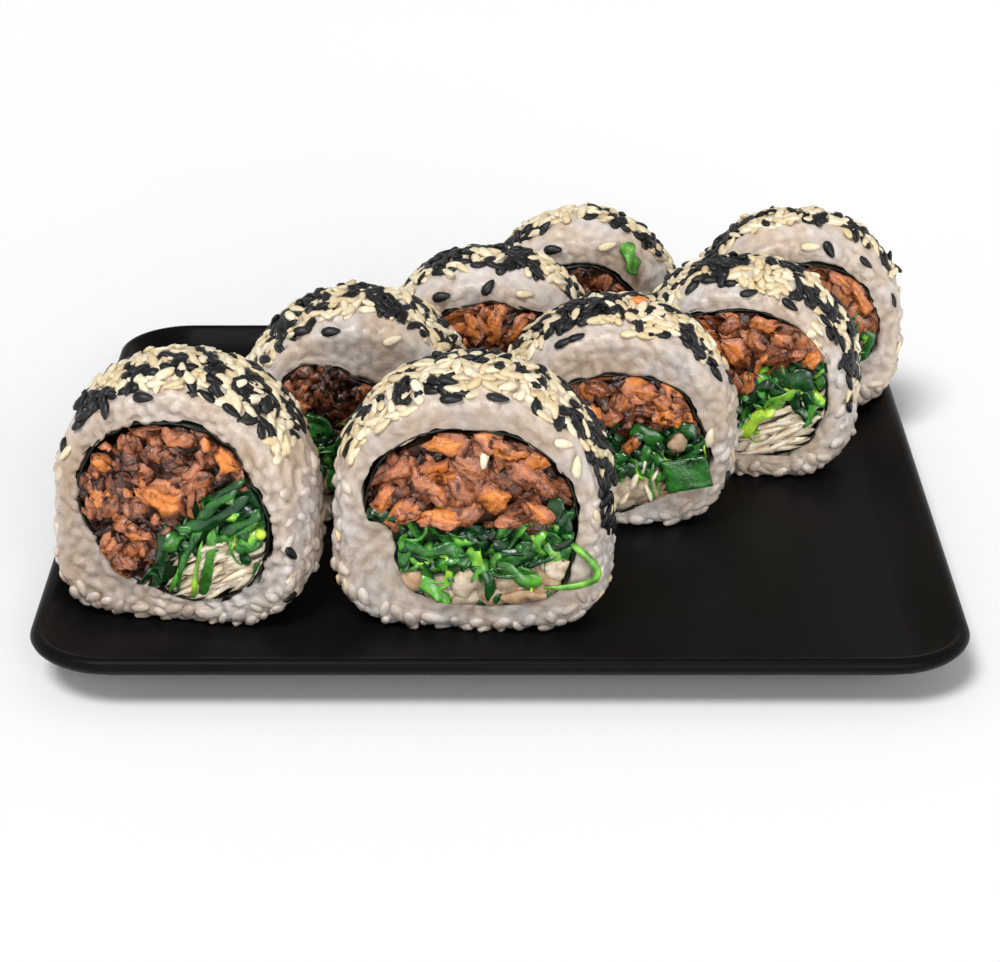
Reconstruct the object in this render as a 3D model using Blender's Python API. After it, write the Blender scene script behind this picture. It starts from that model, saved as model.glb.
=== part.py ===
"""Eight cut uramaki pieces in two staggered rows on a square black plate.

Metres, +Z up. The origin is the centre of the plate's flat foot, on the table. +X runs along
the plate's front edge to the right and +Y runs from the front edge to the back. Every piece
shows its cut face towards -Y.

Each roll is five nodes that run through its thickness: the rice sleeve with sesame seeds stuck
on it, the seaweed sheet inside it, and the cooked salmon, seaweed salad and cream cheese that
the sheet wraps.
"""

import math
import random

import bmesh
import bpy
from mathutils import Matrix, Vector, noise

GAP = 0.0003  # left between solids that touch in the real food

# The plate
PLATE_SIDE = 0.150
PLATE_CORNER = 0.0135
PLATE_RIM_HEIGHT = 0.009
PLATE_FLOOR = 0.004  # height of the upper face above the table
RIM_LIP = 0.0013  # radius of the rounded rim edge
RIM_SLOPE = 0.0072  # width of the slope between the floor and the lip
FOOT_INSET = 0.017
FOOT_CORNER = 0.006
UNDERSIDE_BEND = (0.45, 0.36)  # where the underside steepens: shares of foot inset and height
CORNER_STEPS = 5
SLOPE_STEPS = 3

# The rolls
EDGE_ROUND = 0.0011  # how far the cut edge of the rice is rounded over
BULGE = 0.0015  # how much wider a roll is half way through
BULGE_UP = 0.3  # share of the bulge by which it rises on top
SLEEVE_POINTS = 22
SHEET_THICKNESS = 0.0005
SHEET_POINTS = 20
SHEET_PROUD = 0.0003
SHEET_SAG = 0.0002  # the sheet's flats cut this far inside the round hollow
FILLING_PROUD = 0.0004
FILLING_COLUMNS = 6
FINE_STEPS = 400
CLOSE_COLUMNS = 0.07
THIN_END = 0.0011  # a filling ends where it gets thinner than this
TOP_POWER = 2.15  # superellipse power of the upper half of rice and hollow, near round
HOLLOW_POWER = 2.7  # and of the hollow's lower half, pressed a little squarer
RICE_BUMP = 0.0005
RICE_BUMP_SIZE = 0.0042
BUMPS_ABOVE = 0.0015  # the rice is flat below this height, where it lies on the plate

# Sesame seeds
SEED_LENGTH = 0.0036
SEED_WIDTH = 0.0022
SEED_HEIGHT = 0.0014
SEED_SUNK = 0.00015
SEEDS_PER_ROLL = 16
SEED_SPACING = 0.0062
SEED_ARC = (math.radians(8), math.radians(172))
NEIGHBOUR_CLEARANCE = 0.0016

# Each roll: centre line x and y of its cut face, how far it is turned about the upright, then
# width, thickness and height of the rice and the superellipse power of its lower half, the
# higher the squarer it is pressed on the plate. Its hollow is (offset to the right, height of its
# middle above the plate's floor, half width, half height). Last come the lower edge of the
# salmon and the upper edge of the cheese, each a row of (x, height) as shares of the hollow's
# half sizes, and the seed of its own randomness.
ROLLS = {
    "a1": {
        "at": (-0.0530, -0.0513),
        "turn": -10,
        "size": (0.0416, 0.0210, 0.0425),
        "base_power": 4.2,
        "hollow": (0.0006, 0.0194, 0.0161, 0.0156),
        "salmon_to": (
            (-1.0, -1.0), (-0.30, -1.0), (-0.20, -0.45), (0.10, 0.05), (0.35, 0.33), (1.0, 0.38)
        ),
        "cheese_to": ((-1.0, -1.0), (-0.05, -0.90), (0.10, -0.45), (0.50, -0.25), (1.0, -0.35)),
        "seed": 11,
    },
    "a2": {
        "at": (-0.0243, -0.0125),
        "turn": 2,
        "size": (0.0400, 0.0200, 0.0396),
        "base_power": 3.2,
        "hollow": (-0.0010, 0.0180, 0.0145, 0.0136),
        "salmon_to": ((-1.0, -0.15), (0.0, -0.05), (1.0, -0.20)),
        "cheese_to": ((-1.0, -0.60), (0.2, -0.45), (1.0, -0.60)),
        "seed": 12,
    },
    "a3": {
        "at": (-0.0022, 0.0106),
        "turn": -2,
        "size": (0.0400, 0.0185, 0.0393),
        "base_power": 3.2,
        "hollow": (0.0004, 0.0193, 0.0150, 0.0140),
        "salmon_to": ((-1.0, -0.10), (0.1, -0.20), (1.0, 0.05)),
        "cheese_to": ((-1.0, -0.50), (0.0, -0.60), (1.0, -0.45)),
        "seed": 13,
    },
    "a4": {
        "at": (0.0160, 0.0445),
        "turn": 2,
        "size": (0.0364, 0.0175, 0.0358),
        "base_power": 3.2,
        "hollow": (-0.0004, 0.0166, 0.0130, 0.0124),
        "salmon_to": ((-1.0, 0.0), (0.0, -0.15), (1.0, -0.05)),
        "cheese_to": ((-1.0, -0.55), (0.0, -0.50), (1.0, -0.60)),
        "seed": 14,
    },
    "b1": {
        "at": (-0.0050, -0.0548),
        "turn": -4,
        "size": (0.0440, 0.0210, 0.0431),
        "base_power": 4.2,
        "hollow": (0.0002, 0.0200, 0.0174, 0.0154),
        "salmon_to": (
            (-1.0, 0.15), (-0.60, -0.05), (-0.10, -0.08), (0.60, -0.06), (0.80, 0.30), (1.0, 0.35)
        ),
        "cheese_to": ((-1.0, -0.75), (-0.40, -0.70), (0.10, -0.62), (0.50, -0.50), (1.0, -0.45)),
        "seed": 15,
    },
    "b2": {
        "at": (0.0204, -0.0146),
        "turn": 1,
        "size": (0.0408, 0.0195, 0.0388),
        "base_power": 3.2,
        "hollow": (0.0000, 0.0161, 0.0164, 0.0133),
        "salmon_to": ((-1.0, 0.10), (0.10, 0.15), (0.60, 0.25), (1.0, 0.30)),
        "cheese_to": ((-1.0, -0.50), (0.20, -0.50), (1.0, -0.55)),
        "seed": 16,
    },
    "b3": {
        "at": (0.0423, 0.0086),
        "turn": -11,
        "size": (0.0404, 0.0190, 0.0381),
        "base_power": 3.8,
        "hollow": (0.0000, 0.0184, 0.0160, 0.0138),
        "salmon_to": ((-1.0, 0.0), (0.0, -0.05), (0.35, 0.25), (1.0, 0.42)),
        "cheese_to": ((-1.0, -0.70), (0.05, -0.62), (0.40, -0.30), (1.0, -0.15)),
        "seed": 17,
    },
    "b4": {
        "at": (0.0562, 0.0354),
        "turn": 2,
        "size": (0.0396, 0.0180, 0.0384),
        "base_power": 2.7,
        "hollow": (0.0000, 0.0180, 0.0150, 0.0134),
        "salmon_to": ((-1.0, 0.10), (0.5, 0.15), (0.9, -0.10), (1.0, 0.0)),
        "cheese_to": ((-1.0, -0.40), (0.4, -0.45), (1.0, -0.70)),
        "seed": 18,
    },
}

# Loose greens that lie on a cut face, in their roll's own (x, y, z) on the rice
STRAND_ROLL = "b1"
STRAND_RADIUS = 0.0006
STRAND_PATH = (
    (0.0140, -0.0003, 0.0165),
    (0.0162, -0.0013, 0.0161),
    (0.0190, -0.0013, 0.0138),
    (0.0203, -0.0013, 0.0112),
    (0.0198, -0.0013, 0.0090),
    (0.0175, -0.0015, 0.0078),
    (0.0146, -0.0024, 0.0076),
    (0.0118, -0.0024, 0.0078),
)
SHRED_ROLL = "a4"
SHRED_RADIUS = 0.0009
SHRED_PATH = ((0.0074, 0.0002, 0.0330), (0.0086, -0.0003, 0.0298), (0.0098, 0.0002, 0.0270))
LEAF_ROLL = "b2"
LEAF_SIZE = (0.0080, 0.0007, 0.0070)
LEAF_AT = (0.0112, -0.0014, 0.0126)
LEAF_WAVE = 0.0003
LEAF_RIPPLES = (900, 500)  # turns of its wave across and up it, in radians a metre
LEAF_FLARE = 0.12  # how much wider it gets towards its top

# Colours and finishes: base colour, roughness
MATERIALS = {
    "plate_black": ((0.012, 0.012, 0.013), 0.42),
    "rice_white": ((0.74, 0.69, 0.63), 0.38),
    "seaweed_sheet": ((0.012, 0.016, 0.010), 0.50),
    "cooked_salmon": ((0.42, 0.155, 0.055), 0.36),
    "seaweed_salad": ((0.025, 0.120, 0.020), 0.22),
    "cream_cheese": ((0.72, 0.66, 0.52), 0.45),
}


def clear_scene():
    for obj in list(bpy.data.objects):
        bpy.data.objects.remove(obj)


def material(name):
    """The named material, made on first use."""
    found = bpy.data.materials.get(name)
    if found:
        return found
    colour, roughness = MATERIALS[name]
    made = bpy.data.materials.new(name)
    made.use_nodes = True
    shader = made.node_tree.nodes["Principled BSDF"]
    shader.inputs["Base Color"].default_value = (*colour, 1.0)
    shader.inputs["Roughness"].default_value = roughness
    shader.inputs["Metallic"].default_value = 0.0
    return made


def object_from(bm, name, material_name):
    """A named object made from the bmesh, with its faces turned outwards."""
    bmesh.ops.recalc_face_normals(bm, faces=bm.faces)
    mesh = bpy.data.meshes.new(name)
    bm.to_mesh(mesh)
    bm.free()
    mesh.materials.append(material(material_name))
    obj = bpy.data.objects.new(name, mesh)
    bpy.context.scene.collection.objects.link(obj)
    return obj


def skin(rings, looped):
    """A bmesh over rings of equal length. Looped rings close on themselves, as on a sleeve, and
    otherwise the first and last ring each close in a fan round their middle."""
    bm = bmesh.new()
    rows = [[bm.verts.new(point) for point in ring] for ring in rings]
    count = len(rows[0])
    pairs = list(zip(rows, rows[1:]))
    if looped:
        pairs.append((rows[-1], rows[0]))
    for near, far in pairs:
        for i in range(count):
            j = (i + 1) % count
            bm.faces.new((near[i], near[j], far[j], far[i]))
    if not looped:
        for row, ring in ((rows[0], rings[0]), (rows[-1], rings[-1])):
            middle = bm.verts.new(sum((Vector(p) for p in ring), Vector()) / count)
            for i in range(count):
                bm.faces.new((row[i], row[(i + 1) % count], middle))
    return bm


def rounded_square(side, corner, height):
    """Points round a square with rounded corners, centred on the origin."""
    straight = side / 2 - corner
    points = []
    for quarter in range(4):
        middle = math.pi / 4 + quarter * math.pi / 2
        centre_x = math.copysign(straight, math.cos(middle))
        centre_y = math.copysign(straight, math.sin(middle))
        for step in range(CORNER_STEPS + 1):
            angle = (quarter + step / CORNER_STEPS) * math.pi / 2
            points.append(
                (
                    centre_x + corner * math.cos(angle),
                    centre_y + corner * math.sin(angle),
                    height,
                )
            )
    return points


def plate_profile():
    """(inset from the plate's edge, height) from the foot's edge, over the lip, to the floor."""
    lip_middle = PLATE_RIM_HEIGHT - RIM_LIP
    profile = [
        (FOOT_INSET, 0.0),
        (FOOT_INSET * UNDERSIDE_BEND[0], lip_middle * UNDERSIDE_BEND[1]),
        (RIM_LIP * 0.6, lip_middle - RIM_LIP * 0.8),
    ]
    for angle in (0, 45, 90, 135):
        across = RIM_LIP * (1 - math.cos(math.radians(angle)))
        profile.append((across, lip_middle + RIM_LIP * math.sin(math.radians(angle))))
    slope_top = profile[-1]
    for step in range(1, SLOPE_STEPS + 1):
        share = step / SLOPE_STEPS
        drop = 1 - (1 - share) ** 2
        profile.append(
            (
                slope_top[0] + share * RIM_SLOPE,
                slope_top[1] + drop * (PLATE_FLOOR - slope_top[1]),
            )
        )
    return profile


def make_plate():
    rings = []
    for inset, height in plate_profile():
        corner = max(PLATE_CORNER - inset, FOOT_CORNER)
        rings.append(rounded_square(PLATE_SIDE - 2 * inset, corner, height))
    plate = object_from(skin(rings, looped=False), "plate", "plate_black")
    plate.data.shade_smooth()
    plate.data.set_sharp_from_angle(angle=math.radians(40))


def oval(angle, half_width, half_height, lower_power):
    """A point of the rolls' cross-section: near round above, squarer below."""
    power = TOP_POWER if math.sin(angle) > 0 else lower_power
    across = math.copysign(abs(math.cos(angle)) ** (2 / power), math.cos(angle))
    up = math.copysign(abs(math.sin(angle)) ** (2 / power), math.sin(angle))
    return across * half_width, up * half_height


def bump(point, size, seed):
    """Smooth noise from about -1 to 1 at a point, its lumps as wide as size."""
    return noise.noise(Vector(point) / size + Vector((seed * 7.3, 0, seed * 3.1)))


def sleeve_rings(roll):
    """Rings along the rice sleeve's closed profile, from the hollow's front edge outwards and
    back through the hollow."""
    width, thickness, height = roll["size"]
    shift, hollow_height, hollow_x, hollow_z = roll["hollow"]
    quarter = EDGE_ROUND + (thickness - 2 * EDGE_ROUND) / 4
    # share of the way from the hollow to the outside, inset at the side, y
    profile = (
        (0.0, 0.0, 0.0),
        (0.5, 0.0, 0.0),
        (1.0, EDGE_ROUND, 0.0),
        (1.0, 0.0, EDGE_ROUND),
        (1.0, -0.8 * BULGE, quarter),
        (1.0, -BULGE, thickness / 2),
        (1.0, -0.8 * BULGE, thickness - quarter),
        (1.0, 0.0, thickness - EDGE_ROUND),
        (1.0, EDGE_ROUND, thickness),
        (0.5, 0.0, thickness),
        (0.0, 0.0, thickness),
    )
    rings = []
    for outward, inset, y in profile:
        ring = []
        rise = max(0.0, -inset) * BULGE_UP
        half_height = height / 2 - max(0.0, inset) + rise
        for i in range(SLEEVE_POINTS):
            angle = 2 * math.pi * i / SLEEVE_POINTS
            half_width = width / 2 - inset
            outer_x, outer_z = oval(angle, half_width, half_height, roll["base_power"])
            inner_x, inner_z = oval(angle, hollow_x, hollow_z, HOLLOW_POWER)
            x = inner_x + shift + outward * (outer_x - inner_x - shift)
            z = inner_z + hollow_height
            z += outward * (outer_z + height / 2 + rise - z)
            point = Vector((x, y, z))
            if outward:
                lump = bump(point, RICE_BUMP_SIZE, roll["seed"])
                along = Vector((outer_x, 0, outer_z)).normalized()
                if outward < 1:
                    point.y += RICE_BUMP * lump
                elif z > BUMPS_ABOVE:
                    point += along * RICE_BUMP * 2 * lump
            ring.append(point)
        rings.append(ring)
    return rings


def frame_of(roll):
    """The roll's own frame: x across it, y into its cut face, z up from the plate's floor."""
    place = Vector((*roll["at"], PLATE_FLOOR + GAP))
    return Matrix.Translation(place) @ Matrix.Rotation(math.radians(roll["turn"]), 4, "Z")


def near_neighbour(name, point):
    """True where a seed at this point of a roll would come close to another roll."""
    here = frame_of(ROLLS[name]) @ Vector(point)
    for other, roll in ROLLS.items():
        if other == name:
            continue
        width, thickness, height = roll["size"]
        there = frame_of(roll).inverted() @ here
        if not -SEED_LENGTH / 2 < there.y < thickness + SEED_LENGTH / 2:
            continue
        off_x = there.x / (width / 2 + BULGE + NEIGHBOUR_CLEARANCE)
        off_z = (there.z - height / 2) / (height / 2 + BULGE + NEIGHBOUR_CLEARANCE)
        if off_x**2 + off_z**2 < 1:
            return True
    return False


def seed_places(name):
    """Spread places for seeds on the upper part of a roll, as (angle, y)."""
    roll = ROLLS[name]
    width, thickness, height = roll["size"]
    dice = random.Random(roll["seed"])
    radius = (width + height) / 4
    places = []
    for _ in range(4000):
        angle = dice.uniform(*SEED_ARC)
        y = dice.uniform(0.1, 0.9) * thickness
        x, z = oval(angle, width / 2 + BULGE, height / 2, roll["base_power"])
        if near_neighbour(name, (x, y, z + height / 2)):
            continue
        apart = (
            math.hypot((angle - a) * radius, y - b) > SEED_SPACING for a, b in places
        )
        if all(apart):
            places.append((angle, y))
        if len(places) == SEEDS_PER_ROLL:
            break
    return places


def make_seed(rice, roll, angle, y, turn, collection):
    """One sesame seed lying on the rice at this angle round the roll."""
    bm = bmesh.new()
    bmesh.ops.create_icosphere(bm, subdivisions=1, radius=0.5)
    bmesh.ops.scale(bm, vec=(SEED_WIDTH, SEED_LENGTH, SEED_HEIGHT), verts=bm.verts)
    seed = object_from(bm, "seed", "rice_white")
    width, _, height = roll["size"]
    x, z = oval(angle, width / 2 + BULGE, height / 2, roll["base_power"])
    _, place, normal, _ = rice.closest_point_on_mesh((x, y, z + height / 2))
    seed.matrix_world = (
        Matrix.Translation(place - normal * SEED_SUNK)
        @ Vector((0, 0, 1)).rotation_difference(normal).to_matrix().to_4x4()
        @ Matrix.Rotation(turn, 4, "Z")
    )
    bpy.context.scene.collection.objects.unlink(seed)
    collection.objects.link(seed)


def fuse(obj, collection):
    """Joins every object of the collection to obj by one Boolean union, then removes them."""
    union = obj.modifiers.new("fused", "BOOLEAN")
    union.operation = "UNION"
    union.operand_type = "COLLECTION"
    union.collection = collection
    union.solver = "MANIFOLD"
    bpy.context.view_layer.update()
    graph = bpy.context.evaluated_depsgraph_get()
    fused = bpy.data.meshes.new_from_object(obj.evaluated_get(graph))
    obj.modifiers.clear()
    obj.data = fused
    for extra in list(collection.objects):
        bpy.data.objects.remove(extra)
    bpy.data.collections.remove(collection)


def new_collection(name):
    made = bpy.data.collections.new(name)
    bpy.context.scene.collection.children.link(made)
    return made


def tube(path, radius, sides):
    """A round strand along a path, with closed ends."""
    points = [Vector(point) for point in path]
    rings = []
    for i, point in enumerate(points):
        along = (points[min(i + 1, len(points) - 1)] - points[max(i - 1, 0)]).normalized()
        side = along.cross(Vector((0, 1, 0))).normalized()
        up = side.cross(along)
        turns = [2 * math.pi * k / sides for k in range(sides)]
        rings.append([point + radius * (math.cos(t) * side + math.sin(t) * up) for t in turns])
    return skin(rings, looped=False)


def leaf():
    """A thin wavy square of leaf, upright in the cut face."""
    bm = bmesh.new()
    bmesh.ops.create_cube(bm, size=1)
    bmesh.ops.subdivide_edges(bm, edges=bm.edges, cuts=2, use_grid_fill=True)
    for vert in bm.verts:
        vert.co.x *= LEAF_SIZE[0] * (1 + LEAF_FLARE * vert.co.z)
        vert.co.y *= LEAF_SIZE[1]
        vert.co.z *= LEAF_SIZE[2]
        turn = LEAF_RIPPLES[0] * vert.co.x + LEAF_RIPPLES[1] * vert.co.z
        vert.co.y += LEAF_WAVE * math.sin(turn)
        vert.co += Vector(LEAF_AT)
    return bm


def add_greens(obj, name, kind):
    """Fuses to this node the loose strand, leaf or shred that lies on it, if it has one."""
    shapes = {
        (STRAND_ROLL, "seaweed_salad"): lambda: tube(STRAND_PATH, STRAND_RADIUS, 6),
        (SHRED_ROLL, "rice"): lambda: tube(SHRED_PATH, SHRED_RADIUS, 6),
        (LEAF_ROLL, "seaweed_salad"): leaf,
    }
    if (name, kind) not in shapes:
        return
    greens = new_collection(f"greens_{name}")
    loose = object_from(shapes[name, kind](), "loose_green", "seaweed_salad")
    bpy.context.scene.collection.objects.unlink(loose)
    greens.objects.link(loose)
    fuse(obj, greens)


def make_rice(name):
    roll = ROLLS[name]
    rice = object_from(skin(sleeve_rings(roll), looped=True), f"rice_{name}", "rice_white")
    seeds = new_collection(f"seeds_{name}")
    dice = random.Random(roll["seed"] + 100)
    for angle, y in seed_places(name):
        make_seed(rice, roll, angle, y, dice.uniform(0, math.pi), seeds)
    fuse(rice, seeds)
    add_greens(rice, name, "rice")
    rice.data.materials.clear()
    rice.data.materials.append(material("rice_white"))
    rice.matrix_world = frame_of(roll)


def make_sheet(name):
    """The thin seaweed sheet between the rice and the filling."""
    roll = ROLLS[name]
    shift, middle, half_x, half_z = roll["hollow"]
    back = roll["size"][1] + SHEET_PROUD
    rings = []
    for inset, y in (
        (GAP, -SHEET_PROUD),
        (GAP, back),
        (GAP + SHEET_THICKNESS, back),
        (GAP + SHEET_THICKNESS, -SHEET_PROUD),
    ):
        ring = []
        for i in range(SHEET_POINTS):
            angle = 2 * math.pi * i / SHEET_POINTS
            x, z = oval(angle, half_x - inset, half_z - inset, HOLLOW_POWER)
            ring.append(Vector((x + shift, y, z + middle)))
        rings.append(ring)
    bm = skin(rings, looped=True)
    sheet = object_from(bm, f"seaweed_sheet_{name}", "seaweed_sheet")
    sheet.matrix_world = frame_of(roll)


def height_at(edge, x):
    """The height of a row of (x, height) points at x."""
    for (x0, z0), (x1, z1) in zip(edge, edge[1:]):
        if x <= x1:
            return z0 + (z1 - z0) * (x - x0) / (x1 - x0)
    return edge[-1][1]


def set_off(edge, side, half_x, half_z):
    """The same row of points moved up or down, so that half the gap is left to its lines."""
    steepness = [
        math.hypot(1, (z1 - z0) * half_z / ((x1 - x0) * half_x))
        for (x0, z0), (x1, z1) in zip(edge, edge[1:])
    ]
    moved = []
    for i, (x, z) in enumerate(edge):
        worst = max(steepness[max(i - 1, 0) : i + 1])
        moved.append((x, z + side * worst * GAP / 2 / half_z))
    return moved


def filling_columns(roll, upper_edge, lower_edge):
    """Upright cuts through one filling as (x, bottom, top), between two edges of the hollow's
    section, at even steps and at the edges' bends. None stands for the sheet itself."""
    half_x, half_z = roll["hollow"][2:]
    above = set_off(upper_edge, -1, half_x, half_z) if upper_edge else ()
    below = set_off(lower_edge, 1, half_x, half_z) if lower_edge else ()

    def cut(x):
        roof = (1 - abs(x) ** TOP_POWER) ** (1 / TOP_POWER)
        ground = -((1 - abs(x) ** HOLLOW_POWER) ** (1 / HOLLOW_POWER))
        top = min(roof, height_at(above, x)) if above else roof
        low = max(ground, height_at(below, x)) if below else ground
        return low, top

    fine = [i / FINE_STEPS - 1 for i in range(2 * FINE_STEPS + 1)]
    wide = [x for x in fine if cut(x)[1] - cut(x)[0] > THIN_END / half_z]
    first, last = wide[0], wide[-1]
    columns = {first, last}
    for i in range(1, FILLING_COLUMNS):
        share = i / FILLING_COLUMNS
        near_ends = (1 - math.cos(math.pi * share)) / 2
        columns.add(first + (last - first) * (share + near_ends) / 2)
    bends = [x for edge in (above, below) for x, _ in edge[1:-1]]
    for bend in bends:
        if first < bend < last:
            columns = {x for x in columns if x in bends or abs(x - bend) > CLOSE_COLUMNS}
            columns |= {first, last, bend}
    return [(x, *cut(x)) for x in sorted(columns)]


def make_filling(name, filling):
    kind, material_name, upper, lower, rows, relief, lump_size = filling
    roll = ROLLS[name]
    shift, middle, half_x, half_z = roll["hollow"]
    inset = 2 * GAP + SHEET_THICKNESS + SHEET_SAG
    cuts = filling_columns(roll, roll.get(upper), roll.get(lower))
    bm = bmesh.new()
    faces = []
    back = roll["size"][1] + FILLING_PROUD
    for y, side in ((-FILLING_PROUD, -1), (back, 1)):
        grid = []
        for c, (x, low, top) in enumerate(cuts):
            column = []
            for r in range(rows + 1):
                z = low + (top - low) * r / rows
                flat = Vector((x * (half_x - inset), y, z * (half_z - inset)))
                inside = 0 < c < len(cuts) - 1 and 0 < r < rows
                if inside:
                    lump = bump(flat, lump_size, roll["seed"])
                    flat.y += side * relief * (0.5 + lump)
                column.append(bm.verts.new(flat + Vector((shift, 0, middle))))
            grid.append(column)
        for near, far in zip(grid, grid[1:]):
            for r in range(rows):
                bm.faces.new((near[r], far[r], far[r + 1], near[r + 1]))
        faces.append(grid)
    front, back = (border(grid) for grid in faces)
    for i in range(len(front)):
        j = (i + 1) % len(front)
        bm.faces.new((front[i], front[j], back[j], back[i]))
    made = object_from(bm, f"{kind}_{name}", material_name)
    add_greens(made, name, kind)
    made.matrix_world = frame_of(roll)


def border(grid):
    """The points round a grid of columns, in order."""
    bottom = [column[0] for column in grid]
    top = [column[-1] for column in reversed(grid)]
    return bottom + grid[-1][1:-1] + top + list(reversed(grid[0][1:-1]))


FILLINGS = (
    # node, material, edge above, edge below, rows, relief, lump size
    ("salmon", "cooked_salmon", None, "salmon_to", 4, 0.0016, 0.0045),
    ("seaweed_salad", "seaweed_salad", "salmon_to", "cheese_to", 3, 0.0014, 0.0032),
    ("cream_cheese", "cream_cheese", "cheese_to", None, 2, 0.0009, 0.0050),
)


def main():
    clear_scene()
    make_plate()
    for name in ROLLS:
        make_rice(name)
        make_sheet(name)
        for filling in FILLINGS:
            make_filling(name, filling)


main()
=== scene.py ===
"""Uramaki rolls on a square black plate, dressed for a studio picture.

Each roll is built in its own frame, x across it, y into its cut face and z up from the plate's
floor, and then moved to its place. Lengths are metres.
"""

import itertools
import math

import bpy
import numpy as np
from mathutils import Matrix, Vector


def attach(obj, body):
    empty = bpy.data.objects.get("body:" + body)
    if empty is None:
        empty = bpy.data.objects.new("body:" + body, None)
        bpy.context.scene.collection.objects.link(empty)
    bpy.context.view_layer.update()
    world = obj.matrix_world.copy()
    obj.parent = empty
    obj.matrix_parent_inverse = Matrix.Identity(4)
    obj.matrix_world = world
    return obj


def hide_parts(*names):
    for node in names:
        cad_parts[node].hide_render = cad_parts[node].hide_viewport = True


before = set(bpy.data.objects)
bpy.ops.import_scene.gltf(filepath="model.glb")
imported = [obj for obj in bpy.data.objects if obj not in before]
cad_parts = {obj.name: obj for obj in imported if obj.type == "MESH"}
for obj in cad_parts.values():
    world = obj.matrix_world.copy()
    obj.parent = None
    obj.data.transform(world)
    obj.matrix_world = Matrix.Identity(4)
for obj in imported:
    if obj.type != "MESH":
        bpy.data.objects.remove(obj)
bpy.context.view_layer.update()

MM = 0.001

# The plate
PLATE_SIDE = 0.150
PLATE_CORNER = 0.0135
PLATE_RIM_HEIGHT = 0.009
PLATE_FLOOR = 0.004
RIM_LIP = 0.0013
RIM_SLOPE = 0.0072
FOOT_INSET = 0.017
FOOT_CORNER = 0.006
CORNER_STEPS = 14
SLOPE_STEPS = 10

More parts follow.
